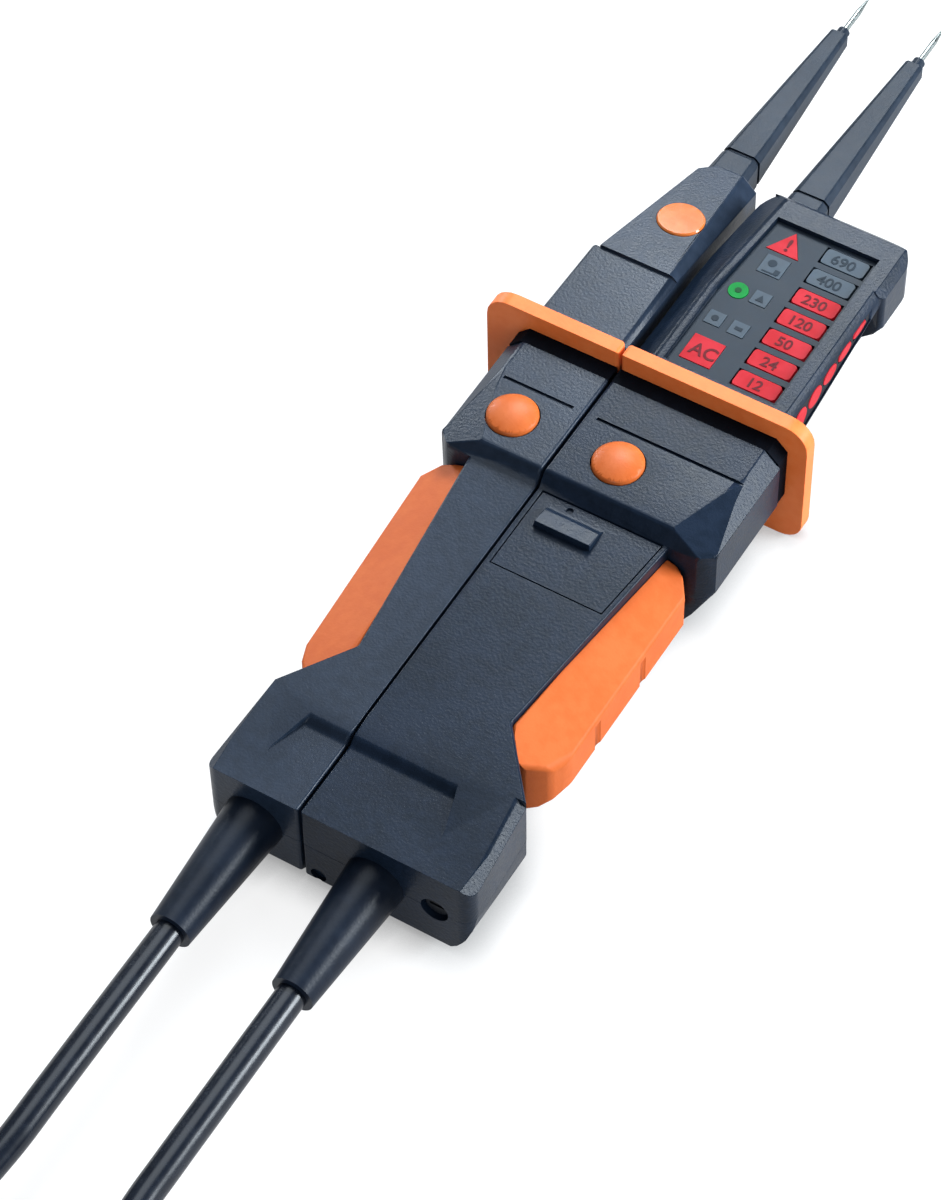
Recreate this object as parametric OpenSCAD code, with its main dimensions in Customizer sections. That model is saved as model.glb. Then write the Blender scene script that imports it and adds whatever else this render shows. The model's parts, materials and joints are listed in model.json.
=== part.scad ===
// Two-pole voltage tester, lying on its back with its two handles docked side by side.
// The larger handle carries the display, and the smaller one only a probe and a button.
// One cord joins the two handles, and the length that isn't needed lies in a coil.
//
// Sizes are in millimetres. Everything is drawn with the middle of the gap between the
// handles at x = 0, their end face at y = 0 and the surface that they lie on at z = 0.
// The probes point along +Y. in_frame() then moves the origin under the middle of the tester.

/* [Overall] */
// Length from the end face of the handles to the tips of the probes
tester_len = 255; // [250:1:262]
// Width of the hand guard across both halves
guard_w = 76.5; // [75:0.5:78]
// Share of the guard's width that is on the display unit
guard_share = 0.58; // [0.57:0.005:0.585]
// Height of the hand guard
guard_h = 34.5; // [34:0.5:38]
// Gap between the two handles
handle_gap = 0.6; // [0.4:0.1:0.8]
// Distance between the axes of the two probes
tip_pitch = 19; // [18.5:0.5:20]
// Height of the probes' axes
probe_h = 20.5; // [19.5:0.5:21]
// Height of the cord's axis and of the joint between front and rear shells
cord_h = 13.4; // [12.8:0.2:14]

/* [Handles] */
// Length of the wide end of the handles
heel_len = 23; // [21:1:25]
// Length over which the handles narrow
flare_len = 15; // [13:1:17]
// Length of the narrow waist
waist_len = 53; // [51:1:56]
// Length of the raised block that holds the push button
block_len = 29.5; // [28.5:0.5:31]
// Length of the neck between the block and the guard
neck_len = 4; // [3.5:0.5:5]
// Height of the end face
end_h = 24.5; // [24:0.5:25.5]
// Height of the waist
waist_h = 26.5; // [26:0.5:27.5]
// Height of the raised block above the waist
block_rise = 3.5; // [3:0.25:4.5]
// Height of the back above the surface, between the heel and the guard
back_h = 2.5; // [1.5:0.5:3]
// Wall thickness of the housing shells
wall = 2; // [1.7:0.1:2.3]

/* [Display unit] */
// Width of the display unit's end
main_end_w = 38.9; // [38.1:0.2:39.5]
// Distance by which the guard stands out past its block
main_guard_out = 4; // [3.5:0.25:4.5]
// Width of its waist beside the wide end, as a share of its block's width
main_low_share = 0.633; // [0.62:0.005:0.65]
// Width of its waist beside the block, as a share of its block's width
main_high_share = 0.764; // [0.75:0.005:0.78]
// Length of the display head
display_len = 55; // [55:0.5:57]
// Width of the display head, as a share of its block's width
display_share = 0.937; // [0.93:0.002:0.942]
// Height of the display head
display_h = 33.5; // [33:0.25:34]
// Distance from the middle of the gap to its cord
main_cord_x = 17.2; // [16.4:0.2:18]

/* [Probe unit] */
// Width of the probe unit's end
probe_end_w = 22.2; // [21.6:0.2:22.8]
// Distance by which the guard stands out past its block
probe_guard_out = 7.5; // [7:0.25:8]
// Width of its waist beside the wide end, as a share of its block's width
probe_low_share = 0.42; // [0.41:0.005:0.45]
// Width of its waist beside the block, as a share of its block's width
probe_high_share = 0.664; // [0.65:0.005:0.69]
// Length of its head
head_len = 58.5; // [57.5:0.5:60]
// Width of its head beside the guard, as a share of its block's width
head_share = 0.86; // [0.84:0.005:0.88]
// Height of its head
head_h = 33; // [32.5:0.25:33.5]
// Height of the head's far end
head_end_h = 28.6; // [28.2:0.2:29.4]
// Distance from the middle of the gap to its cord
probe_cord_x = 10.8; // [10.4:0.2:11.2]

/* [Guard and grips] */
// Thickness of the guard
guard_t = 3.4; // [3:0.2:4]
// Radius of the guard's upper corners
guard_top_r = 5.5; // [4.5:0.5:6.5]
// Radius of the guard's lower corners
guard_low_r = 5; // [4:0.5:6]
// Width of the display unit over its grip pad, as a share of its block's width
main_grip_share = 0.932; // [0.92:0.002:0.944]
// Width of the probe unit over its grip pad, as a share of its block's width
probe_grip_share = 1.02; // [1:0.005:1.04]

/* [Probes] */
// Length of the bare metal tip
tip_bare = 12; // [10:0.5:14]
// Diameter of the metal tip
tip_d = 1.4; // [1.3:0.1:1.6]
// Length of the collar round the tip
collar_len = 2.5; // [2:0.5:3]
// Width of the insulated sleeve at its collar
sleeve_end_w = 4.4; // [4:0.2:5]
// Width of the insulated sleeve at the housing
sleeve_root_w = 9.8; // [9.2:0.2:10.4]

/* [Buttons] */
// Diameter of a push button, as a share of the width of the probe unit's block
button_d_share = 0.448; // [0.41:0.01:0.46]
// Distance from the middle of the gap to a push button, as a share of the same width
button_x_share = 0.509; // [0.5:0.005:0.52]
// Distance from the block's step to a push button
button_y = 11.3; // [10.5:0.2:12]
// Travel of a push button
button_travel = 1; // [0.8:0.1:1.2]
// Height by which a button stands proud of the block
button_proud = 1.7; // [1.5:0.1:2.2]

/* [Display] */
// Length of one light bar, as a share of the display head's width
bar_share = 0.28; // [0.27:0.002:0.285]
// Width of one light bar
bar_w = 4.7; // [4.3:0.1:5]
// Distance from one light bar to the next
bar_pitch = 6.45; // [6.2:0.05:6.45]
// Number of light bars
bar_count = 7; // [5:1:7]
// Depth of the display panel below the rim round it
panel_drop = 1.2; // [1:0.1:1.4]
// Thickness of the display panel
panel_t = 1.5; // [1.3:0.1:1.7]

/* [Battery lid] */
// Length of the battery lid
lid_len = 21.5; // [20.5:0.5:23]
// Thickness of the battery lid
lid_t = 2.2; // [1.8:0.1:2.4]
// Height of the latch tab on the lid
tab_h = 1.8; // [1.5:0.1:2]

/* [Cord] */
// Diameter of the cord
cord_d = 6.4; // [6:0.1:6.6]
// Length of the strain reliefs
relief_len = 30; // [28:1:32]
// Diameter of a strain relief beside the housing
relief_root_d = 13; // [12.4:0.2:13.6]
// Diameter of a strain relief at its end
relief_end_d = 9.2; // [8.4:0.2:9.6]

/* [Fits] */
// Clearance round a push button and round the battery lid
slide_gap = 0.3; // [0.25:0.05:0.4]
// Clearance between pieces that are fixed to each other
fit_gap = 0.1; // [0.05:0.05:0.15]

/* [Hidden] */

// Finish of the circles, and how far a cut runs past the face that it opens
$fn = 64;
over = wall / 2;
reach = tester_len;

// Places along the handles
gap_x = handle_gap / 2;
waist_y = heel_len + flare_len;
step_y = waist_y + waist_len;
block_end = step_y + block_len;
block_h = waist_h + block_rise;
guard_y = block_end + neck_len;
head_y = guard_y + guard_t;
display_end = head_y + display_len;
head_end = head_y + head_len;
sleeve_end = tester_len - tip_bare - collar_len;
guard_main_w = guard_w * guard_share;
guard_probe_w = guard_w - guard_main_w;

// Widths of each handle from the middle of the gap: end, low waist, high waist and block,
// and by how much the wide end narrows towards the waist
main_block_w = guard_main_w - main_guard_out;
probe_block_w = guard_probe_w - probe_guard_out;
main_taper = 1.2;
probe_taper = 2.2;
main_low_w = main_block_w * main_low_share;
main_high_w = main_block_w * main_high_share;
probe_low_w = probe_block_w * probe_low_share;
main_grip_w = main_block_w * main_grip_share;
probe_grip_w = probe_block_w * probe_grip_share;
main_w = [main_end_w, main_low_w, main_high_w, main_block_w, main_taper];
probe_w = [probe_end_w, probe_low_w, probe_block_w * probe_high_share, probe_block_w, probe_taper];
button_d = probe_block_w * button_d_share;
button_x = probe_block_w * button_x_share;

// Forms of the handles
toe_run = 4;
toe_h = 3;
heel_run = 4;
step_run = 2.4;
block_corner = 3;
strip_w = 2.5;
// Where the flat top of the block ends, measured from the block's side
top_in_far = 2.6;
top_in_mid = 5.2;
top_in_near = 10;
facet_slope = 22;
belly_h = 14;
belly_share = 0.173;
belly_in = main_block_w * belly_share;
end_belly_h = 14;
end_belly_w = 12;
end_edge = 2.4;
end_flat = 8;
heel_corner = 3;
root_in = 3;
sleeve_neck_d = 4.8;
pocket_in = 3;
pocket_run = 2;
pocket_side = 10;
main_pocket_w = 24;
probe_pocket_w = 9.8;
groove_w = 0.8;
groove_depth = 0.5;
groove_y = 19;
groove_in = 2.5;

// The neck that the guard sits on
neck_low = 5;
neck_drop = 2.4;
neck_high = block_h - neck_drop;
neck_in = 3;
main_neck_w = main_block_w - neck_in;
probe_neck_w = probe_block_w - neck_in;

// The display head
head_gap = 0.3;
display_x = gap_x + head_gap;
display_w = main_block_w * display_share;
display_right = display_x + display_w;
head_low = 9.5;
display_side_low = 21;
display_chin = 6;
display_edge = 1.5;
display_far_edge = 2;
shoulder_share = 0.143;
shoulder_in = display_w * shoulder_share;
shoulder_drop = 4.5;
shoulder_turn = 5;
shoulder_y = 24;
display_near_r = 4;
display_far_r = 6;
display_left_run = 32;
display_left_in = 1.9;
block_run = 39;
block_out = 1;
ledge_rise = 7.5;
panel_top = display_h - panel_drop;
panel_low = panel_top - panel_t;
ledge_t = 1.4;
ledge_w = 0.8;
panel_left_share = 0.193;
panel_left_in = display_w * panel_left_share;
panel_left_turn = 1.8;
panel_right_in = 4.4;
panel_start = 1.3;
panel_far_in = 7.4;
panel_end = display_end - panel_far_in;
display_roof = panel_low - ledge_t;

// The probe unit's head
head_w = probe_block_w * head_share;
head_step = 21.5;
head_step_in = 1.7;
head_side_low = 18;
head_chin = 5;
head_bevel = 1.2;
cap_bevel = 1.4;
cap_turn = 4;
cap_rise = 0.7;
cap_h = head_h + cap_rise;
cap_slope = atan2(cap_h - head_end_h, head_len - head_step);
head_end_side = 0.6;
head_end_cut = 3;
head_near_in = 0.5;

// The display: the bars, the lights beside them and what lies under them
bar_rise = 0.15;
bar_right_in = 0.9;
bar_len = display_w * bar_share;
bar_x = display_right - panel_right_in - bar_right_in - bar_len;
ledge_in = panel_right_in + bar_right_in - wall - 2 * fit_gap;
last_bar_y = panel_end - 3.7;
light_deep = 11;
light_low = display_h - light_deep;
side_inset = 0.5;
side_edge = 1.2;
side_high = display_h - display_edge - side_inset;
side_start = 2.4;
side_end_in = 19.5;
side_light_h = 2.2;
side_light_len = 5.2;
side_sink = 0.3;
board_t = 1.2;
board_h = 19.6;
board_in = 0.6;
post_d = 4;
post_share = 0.51;
post_near = 8;
post_far = 36;
led_h = 1.2;
led_w = 2;

// The inside of the handles
board_start = 4;
switch_w = 6;
switch_gap = 0.4;
button_lip = 0.8;
lip_share = 0.22;
board_top = board_h + board_t;
press_room = block_h - wall - board_top - button_travel - slide_gap - switch_gap;
button_lip_t = press_room * lip_share;
button_dome = 1.3;
cell_len = 44.5;
cell_gap = 0.4;
tray_t = 1;
contact_t = 0.6;
lid_land = 1.1;
lid_ledge = 1.5;
lid_frame_t = 1.4;
tab_w = 13;
tab_len = 6;
tab_x = 4.2;
tab_end_in = 3;
peg_d = 3.6;
peg_len = 3;
peg_h = board_h - (peg_d + wall) / 2 - fit_gap;
peg_low_share = 0.6;
peg_high_share = 0.8;
screw_d = 3;
screw_head_d = 5;
screw_head_t = 1.6;
screw_well_d = 5.6;
screw_sink = 1;
boss_d = 7.6;
boss_top_d = 4.4;
screw_edge_share = 0.074;
screw_edge = main_block_w * screw_edge_share;
end_screw_x = 30.6;
end_screw_d = 5.2;
end_well_d = 6.2;
end_well = 2.4;
end_boss = 8;
notch_d = 3.6;
notch_x = 3.6;
notch_h = 4.6;

// The strain reliefs' roots inside the end face
relief_neck_d = 10;
relief_flange_d = 12;
relief_flange_t = 2;

// Route of the cord, from each strain relief to the coil
probe_route = [
    [-10.8, -30, 13.4], [-10.8, -44, 13.4], [-10.8, -58, 13.4], [-10.8, -72, 13.3], [-11, -85, 12.9],
    [-12.8, -98, 11.7], [-17.2, -110, 9.8], [-23.2, -121, 7.6], [-29.4, -132, 5.5], [-34.8, -143, 4],
    [-37.6, -152, 3.3], [-38, -160, 3.2]
];
main_route = [
    [17.2, -30, 13.4], [17.2, -44, 13.4], [17.2, -58, 13.4], [17.2, -72, 13.4], [17.4, -85, 13.3],
    [19.4, -98, 13], [24.2, -110, 12.4], [30.4, -121, 11.6], [36.8, -132, 10.9], [42.2, -143, 10.5],
    [45.2, -152, 10.4], [46, -160, 10.4]
];
coil_centre = [4, -166.4];
coil_r = 42;
coil_pitch = 7.2;
coil_turns = 4.5;
coil_ring_count = 24;
coil_sides = 6;
cord_sides = 8;
cord_r = cord_d / 2;
cord_gap = 0.4;

// A unit vector, and a smooth step from 0 to 1
function unit(v) = v / norm(v);
function smooth(s) = s <= 0 ? 0 : s >= 1 ? 1 : s * s * (3 - 2 * s);

// The points of a quarter of an ellipse about (x, y), from angle a
function quarter(x, y, rx, ry, a) = [for (i = [0 : 6]) [x + rx * cos(a + 15 * i), y + ry * sin(a + 15 * i)]];

// Moves the origin under the middle of the tester
module in_frame() {
    translate([(guard_probe_w - guard_main_w) / 2, -tester_len / 2, 0]) children();
}

// A piece drawn on the display unit's side, moved to the probe unit's side
module probe_side() {
    in_frame() mirror([1, 0, 0]) children();
}

// An outline seen from above, filled between two heights
module plan(points, low, high) {
    translate([0, 0, low]) linear_extrude(high - low) polygon(points);
}

// An outline of y and z, filled from the left side to the right
module profile(points, left, right) {
    translate([left, 0, 0]) rotate([90, 0, 90]) linear_extrude(right - left) polygon(points);
}

// An outline of x and z, filled from the near side to the far
module section(points, near, far) {
    translate([0, far, 0]) rotate([90, 0, 0]) linear_extrude(far - near) polygon(points);
}

// A box between two corners
module block(low, high) {
    translate(low) cube(high - low);
}

// The room on the outer side of a plane through a point, k inside it.
// The plane faces the compass angle "turn" and is tilted up by "tilt".
module outside(point, turn, tilt, k) {
    translate(point) rotate([0, -tilt, turn])
        translate([-k, -reach, -reach]) cube([reach, 2 * reach, 2 * reach]);
}

// The wide end, the flare and the waist of a handle, drawn k inside its outer faces
module handle_waist(w, k) {
    difference() {
        intersection() {
            plan(concat(
                [[gap_x + k, k]],
                quarter(w[0] - heel_corner - k, heel_corner + k, heel_corner, heel_corner, -90),
                [[w[0] - w[4] - k, heel_len], [w[1] - k, waist_y], [w[2] - k, step_y],
                 [w[2] - k, step_y + toe_run + k], [gap_x + k, step_y + toe_run + k]]
            ), 0, waist_h);
            profile([
                [k, toe_h + k], [toe_run + k, k], [heel_len - heel_run, k], [heel_len, back_h + k],
                [step_y + toe_run + k, back_h + k], [step_y + toe_run + k, waist_h - k],
                [heel_len, waist_h - k], [k > 0 ? heel_len : end_flat, end_h - k], [k, end_h - k]
            ], 0, main_block_w);
            // The lower outer edge is a wide round
            section(concat(
                [[0, 0]], quarter(w[0] - end_belly_w, end_belly_h, end_belly_w - k, end_belly_h - k, -90),
                [[w[0] - k, waist_h], [0, waist_h]]
            ), 0, step_y + toe_run + k);
        }
        // The upper outer edge of the wide end is a sloping strip
        intersection() {
            outside([w[0] - end_edge, 0, end_h], -atan2(w[4], heel_len), 45, k);
            block([0, 0, 0], [reach, heel_len, waist_h]);
        }
    }
}

// The raised block of a handle, drawn k inside its outer faces
module handle_block(w, k) {
    mid_y = (step_y + step_run + block_end) / 2;
    far_turn = -atan2(top_in_mid - top_in_far, block_end - mid_y);
    near_turn = -atan2(top_in_near - top_in_mid, mid_y - step_y - step_run);
    difference() {
        intersection() {
            plan([
                [gap_x + k, step_y + k], [w[3] - block_corner - k, step_y + k],
                [w[3] - k, step_y + block_corner + k], [w[3] - k, block_end - k],
                [gap_x + k, block_end - k]
            ], 0, block_h);
            profile([
                [step_y + k, back_h + k], [block_end - k, back_h + k], [block_end - k, block_h - k],
                [step_y + step_run + k, block_h - k], [step_y + k, waist_h - k]
            ], 0, main_block_w);
        }
        outside([w[3] - top_in_mid, mid_y, block_h], far_turn, 90 - facet_slope, k);
        outside([w[3] - top_in_mid, mid_y, block_h], near_turn, 90 - facet_slope, k);
        outside([w[3] - strip_w, 0, block_h - strip_w / 2], 0, 45, k);
        outside([w[3], 0, belly_h], 0, -atan2(belly_in, belly_h - back_h), k);
    }
}

// The neck that passes through the guard, drawn k inside its outer faces, and inside it
// the way for the circuit board through the head's near wall
function neck_points(neck_w, k) = [
    [gap_x + (k < 0 ? -over : k), neck_low + k], [neck_w - belly_in - k, neck_low + k],
    [neck_w - k, belly_h + k], [neck_w - k, neck_high - k], [gap_x + (k < 0 ? -over : k), neck_high - k]
];

module handle_neck(neck_w, left, right, k) {
    section(neck_points(neck_w, k), block_end - toe_run - k, head_y - k);
    if (k > 0) block([left + k, head_y - 2 * k, head_low + k], [right - k, head_y + 2 * k, neck_high - k]);
}

// The display head, drawn k inside its outer faces and no higher than the roof. Its left side has
// a sloping shoulder, its far end is a wider block, and a ledge lies under its right side.
module display_head(k, roof) {
    block_y = head_y + block_run;
    block_right = display_right + block_out;
    shoulder = [display_x + shoulder_in, head_y + shoulder_y, display_h];
    shoulder_tilt = atan2(shoulder_in, shoulder_drop);
    difference() {
        intersection() {
            plan(concat(
                [[display_x + k, head_y + k], [display_right - k, head_y + k],
                 [display_right - k, block_y + k], [block_right - k, block_y + block_out + k]],
                quarter(block_right - display_far_r - k, display_end - display_far_r - k,
                    display_far_r, display_far_r, 0),
                quarter(display_x + display_left_in + display_near_r + k, display_end - display_near_r - k,
                    display_near_r, display_near_r, 90),
                [[display_x + k, head_y + display_left_run]]
            ), head_low + k, roof);
            section([
                [display_x + display_chin + k, head_low + k],
                [display_right - 2 * display_chin - k, head_low + k], [display_right - k, display_side_low + k],
                [block_right - k, display_side_low + block_out + k], [block_right - k, display_h - k],
                [display_x + k, display_h - k], [display_x + k, display_side_low + k]
            ], head_y + k, display_end - k);
            profile([
                [head_y + k, head_low + k], [display_end - display_chin - k, head_low + k],
                [display_end - k, display_side_low - display_chin + k],
                [display_end - k, display_h - display_far_edge - k],
                [display_end - display_far_edge - k, display_h - k], [head_y + k, display_h - k]
            ], display_x, block_right);
        }
        outside(shoulder, 180, shoulder_tilt, k);
        outside(shoulder, 180 - shoulder_turn, shoulder_tilt, k);
        outside([block_right - display_far_edge, 0, display_h], 0, 45, k);
        intersection() {
            outside([display_right - display_edge, 0, display_h], 0, 45, k);
            block([0, 0, 0], [reach, block_y, reach]);
        }
        profile([
            [guard_y, 0], [block_y + k, 0], [block_y + k, display_side_low + ledge_rise + k],
            [head_y, display_side_low + k], [guard_y, display_side_low + k]
        ], display_right - ledge_in - k, reach);
    }
}

// The probe unit's head on the display unit's side, drawn k inside its outer faces. Its far part is
// a narrower cap that stands a little higher and slopes down to the sleeve.
module probe_head(k) {
    step = head_y + head_step;
    far_left = tip_pitch / 2 + sleeve_root_w / 2 - head_end_side;
    difference() {
        intersection() {
            plan([
                [gap_x + k, head_y + k], [head_w - k, head_y + k], [head_w - head_near_in - k, step],
                [head_w - head_near_in - head_step_in - k, step],
                [far_left - k, head_end - head_end_cut - k], [far_left - head_end_cut - k, head_end - k],
                [gap_x + head_end_side + k, head_end - k], [gap_x + k, step]
            ], head_low + k, cap_h);
            section([
                [gap_x + k + head_chin, head_low + k], [head_w - head_chin - k, head_low + k],
                [head_w - k, head_side_low + k], [head_w - k, cap_h], [gap_x + k, cap_h],
                [gap_x + k, head_side_low + k]
            ], head_y + k, head_end - k);
            profile([
                [head_y + k, head_low + k], [head_end - head_chin - k, head_low + k],
                [head_end - k, head_side_low - head_chin + k], [head_end - k, head_end_h - k],
                [step, cap_h - k], [step, head_h - k], [head_y + k, head_h - k]
            ], 0, head_w);
        }
        intersection() {
            outside([gap_x + head_bevel, 0, head_h], 180, 45, k);
            block([0, 0, 0], [head_w, step, cap_h]);
        }
        intersection() {
            translate([0, step, cap_h]) rotate([-cap_slope, 0, 0])
                outside([gap_x + cap_bevel, 0, 0], 180 - cap_turn, 45, k);
            block([0, step, 0], [head_w, head_end, cap_h]);
        }
    }
}

// The whole outside of each unit's housing, or with k its inside
module main_form(k) {
    handle_waist(main_w, k);
    handle_block(main_w, k);
    handle_neck(main_neck_w, display_x + display_chin, display_right - 2 * display_chin, k);
    display_head(k, k > 0 ? display_roof : display_h);
}

module probe_form(k) {
    handle_waist(probe_w, k);
    handle_block(probe_w, k);
    handle_neck(probe_neck_w, gap_x + head_chin, head_w - head_chin, k);
    probe_head(k);
}

// All the room above, or below, the joint between the shells
module room_above() {
    block([-reach, -reach, cord_h], [reach, reach, reach]);
}

module room_below() {
    block([-reach, -reach, -reach], [reach, reach, cord_h]);
}

// A cylinder along y between two places
module along_y(x, z, near, far, d) {
    translate([x, near, z]) rotate([-90, 0, 0]) cylinder(h = far - near, d = d);
}

// A sleeve's bore through the end of a head
module sleeve_bore(end) {
    along_y(tip_pitch / 2, probe_h, end - wall - root_in - over, end + over, sleeve_neck_d + 2 * fit_gap);
}

// What a strain relief takes out of a handle
module relief_seat(x) {
    along_y(x, cord_h, -over, wall + over, relief_neck_d + 2 * fit_gap);
    along_y(x, cord_h, wall, wall + relief_flange_t + fit_gap, relief_flange_d + 2 * fit_gap);
}

// A groove across the top of a block
module block_groove(w) {
    block(
        [gap_x + groove_in, step_y + groove_y, block_h - groove_depth],
        [w - top_in_far, step_y + groove_y + groove_w, block_h + over]
    );
}

// The bore of a push button, with room for the lip under the shell
module button_bore() {
    translate([button_x, step_y + button_y, block_h / 2]) cylinder(h = block_h, d = button_d + 2 * slide_gap);
    translate([button_x, step_y + button_y, block_h / 2])
        cylinder(h = block_h / 2 - wall, d = button_d + 2 * button_lip + 2 * slide_gap);
}

// The shallow pocket on the end of a handle, with a sloping far wall. It runs out near the end face.
module end_pocket(w) {
    far = heel_len - pocket_in;
    top = waist_h + over;
    intersection() {
        plan([
            [-over, -over], [w + pocket_in, -over], [w + pocket_in, far - pocket_side], [w, far], [-over, far]
        ], end_h, top);
        profile([
            [-over, end_h], [far - pocket_run, end_h], [far, waist_h], [far, top], [-over, top]
        ], -over, w + pocket_in);
    }
}

// Places of the screws in the back of each unit
main_screws = [
    [main_low_w - screw_well_d, waist_y - flare_len / 3],
    [main_block_w - belly_in - screw_edge, block_end - screw_well_d],
    [main_low_w - screw_well_d, waist_y + waist_len / 2]
];
probe_screws = [
    [probe_low_w / 2 + gap_x, waist_y - flare_len / 3],
    [probe_block_w - belly_in - screw_edge, block_end - screw_well_d]
];

module screw_wells(places) {
    for (p = places) translate([p[0], p[1], 0]) {
        translate([0, 0, -over]) cylinder(h = back_h + screw_sink + screw_head_t + over, d = screw_well_d);
        translate([0, 0, -over]) cylinder(h = cord_h + over + wall, d = screw_d + 2 * fit_gap);
    }
}

module screw_bosses(places, low, high) {
    for (p = places) translate([p[0], p[1], low]) cylinder(h = high - low, d = boss_d);
}

// The front shell's bosses are narrower above the circuit boards, which rest on their shoulders
module front_bosses(places) {
    screw_bosses(places, cord_h, board_h);
    for (p = places) translate([p[0], p[1], board_h])
        cylinder(h = block_h - wall / 2 - board_h, d = boss_top_d);
}

module boss_holes(places) {
    for (p = places) translate([p[0], p[1], board_h - over])
        cylinder(h = board_t + 2 * over, d = boss_top_d + 2 * fit_gap);
}

module screws(places) {
    for (p = places) translate([p[0], p[1], back_h + screw_sink]) difference() {
        union() {
            cylinder(h = screw_head_t - fit_gap, d = screw_head_d);
            cylinder(h = cord_h - back_h - screw_sink + wall - fit_gap, d = screw_d);
        }
        translate([0, 0, -over]) cylinder(h = over + screw_head_t / 2, d = screw_head_d / 2, $fn = 6);
    }
}

// Places of the docking pegs along the handles
peg_places = [heel_len * peg_low_share, step_y + block_len * peg_high_share];

// Distance from the middle of the gap to the display unit's waist at a place along it, and
// the outline of the battery lid, drawn in from the waist's sides and from the lid's ends
function main_edge(y) = main_low_w + (main_high_w - main_low_w) * (y - waist_y) / waist_len;
function lid_outline(side, end) = let (near = step_y - lid_len + end, far = step_y - end) [
    [gap_x + side, near], [main_edge(near) - side, near], [main_edge(far) - side, far], [gap_x + side, far]
];

// The outline of the display's window, whose left side turns in towards the far end
module window_outline() {
    left = display_x + panel_left_in;
    polygon([
        [left, head_y + panel_start], [display_right - panel_right_in, head_y + panel_start],
        [display_right - panel_right_in, panel_end], [left + panel_left_turn, panel_end],
        [left, head_y + shoulder_y]
    ]);
}

// The room of the strip in the display head's right side, which narrows with the ledge under it
module side_room(grow, left, right) {
    near = head_y + side_start;
    far = display_end - side_end_in;
    profile([
        [near - grow, side_low(near) - grow], [far + grow, side_low(far) - grow],
        [far + grow, side_high + grow], [near - grow, side_high + grow]
    ], left, right);
}
function side_low(y) = display_side_low + side_edge + ledge_rise * (y - head_y) / block_run;

// The display unit's housing
end_screw_room = end_screw_x - end_well_d / 2 - wall;

module main_front_shell() in_frame() color("#3b4656") {
    difference() {
        union() {
            difference() {
                intersection() {
                    main_form(0);
                    room_above();
                }
                difference() {
                    main_form(wall);
                    block([end_screw_room, 0, 0], [main_block_w, end_boss, block_h]);
                }
            }
            intersection() {
                front_bosses(main_screws);
                main_form(wall / 2);
            }
            // The frame under the battery lid
            plan(lid_outline(lid_land, -wall), waist_h - lid_t - lid_frame_t, waist_h - wall / 2);
        }
        plan(lid_outline(lid_land, 0), waist_h - lid_t - fit_gap, waist_h + over);
        plan(lid_outline(lid_land + lid_ledge, lid_ledge), waist_h - 2 * lid_t, waist_h);
        end_pocket(main_pocket_w);
        block_groove(main_block_w);
        button_bore();
        relief_seat(main_cord_x);
        along_y(end_screw_x, cord_h, -over, end_well, end_well_d);
        along_y(end_screw_x, cord_h, 0, end_boss - wall, screw_d);
        for (y = peg_places) translate([0, y, peg_h]) rotate([0, 90, 0])
            cylinder(h = gap_x + peg_len + wall, d = peg_d + 2 * slide_gap);
        screw_wells(main_screws);
        sleeve_bore(display_end);
        // The display's window, with a ledge that the panel rests on
        translate([0, 0, panel_low]) linear_extrude(display_h) window_outline();
        translate([0, 0, display_roof - over]) linear_extrude(panel_top - display_roof)
            offset(delta = -ledge_w) window_outline();
        // The window in the display head's right side
        side_room(side_inset, display_right - side_inset, reach);
        side_room(0, display_right - wall - over, reach);
    }
}

module main_rear_shell() in_frame() color("#323c4a") {
    difference() {
        union() {
            difference() {
                intersection() {
                    main_form(0);
                    room_below();
                }
                difference() {
                    main_form(wall);
                    block([end_screw_room, 0, 0], [main_block_w, end_boss, block_h]);
                }
            }
            intersection() {
                screw_bosses(main_screws, back_h, cord_h);
                main_form(wall / 2);
            }
            for (y = [post_near, post_far])
                translate([across(post_share), head_y + y, head_low + wall / 2])
                cylinder(h = board_h - head_low - wall / 2, d = post_d);
        }
        relief_seat(main_cord_x);
        along_y(end_screw_x, cord_h, -over, end_well, end_well_d);
        along_y(end_screw_x, cord_h, 0, end_boss - wall, screw_d);
        along_y(notch_x, notch_h, -over, wall / 2, notch_d);
        screw_wells(main_screws);
    }
}

// The probe unit's housing
module probe_front_shell() probe_side() color("#4d5968") {
    difference() {
        union() {
            difference() {
                intersection() {
                    probe_form(0);
                    room_above();
                }
                probe_form(wall);
            }
            intersection() {
                front_bosses(probe_screws);
                probe_form(wall / 2);
            }
        }
        end_pocket(probe_pocket_w);
        block_groove(probe_block_w - groove_in);
        button_bore();
        relief_seat(probe_cord_x);
        for (y = peg_places) translate([0, y, peg_h]) rotate([0, 90, 0])
            cylinder(h = gap_x + wall + over, d = peg_d + 2 * fit_gap);
        screw_wells(probe_screws);
        sleeve_bore(head_end);
        badge_place() translate([0, 0, -badge_sink]) cylinder(h = over + badge_sink, d = badge_d + 2 * fit_gap);
    }
}

module probe_rear_shell() probe_side() color("#3a4553") {
    difference() {
        union() {
            difference() {
                intersection() {
                    probe_form(0);
                    room_below();
                }
                probe_form(wall);
            }
            intersection() {
                screw_bosses(probe_screws, back_h, cord_h);
                probe_form(wall / 2);
            }
        }
        relief_seat(probe_cord_x);
        screw_wells(probe_screws);
    }
}

// The plain disc on the sloping face of the probe unit's head
badge_d = 10.5;
badge_t = 1.2;
badge_sink = 0.7;
badge_x = 8.6;
badge_y = 38;

module badge_place() {
    run = badge_y - head_step;
    translate([badge_x, head_y + badge_y, cap_h - run * tan(cap_slope)]) rotate([-cap_slope, 0, 0]) children();
}

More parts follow.
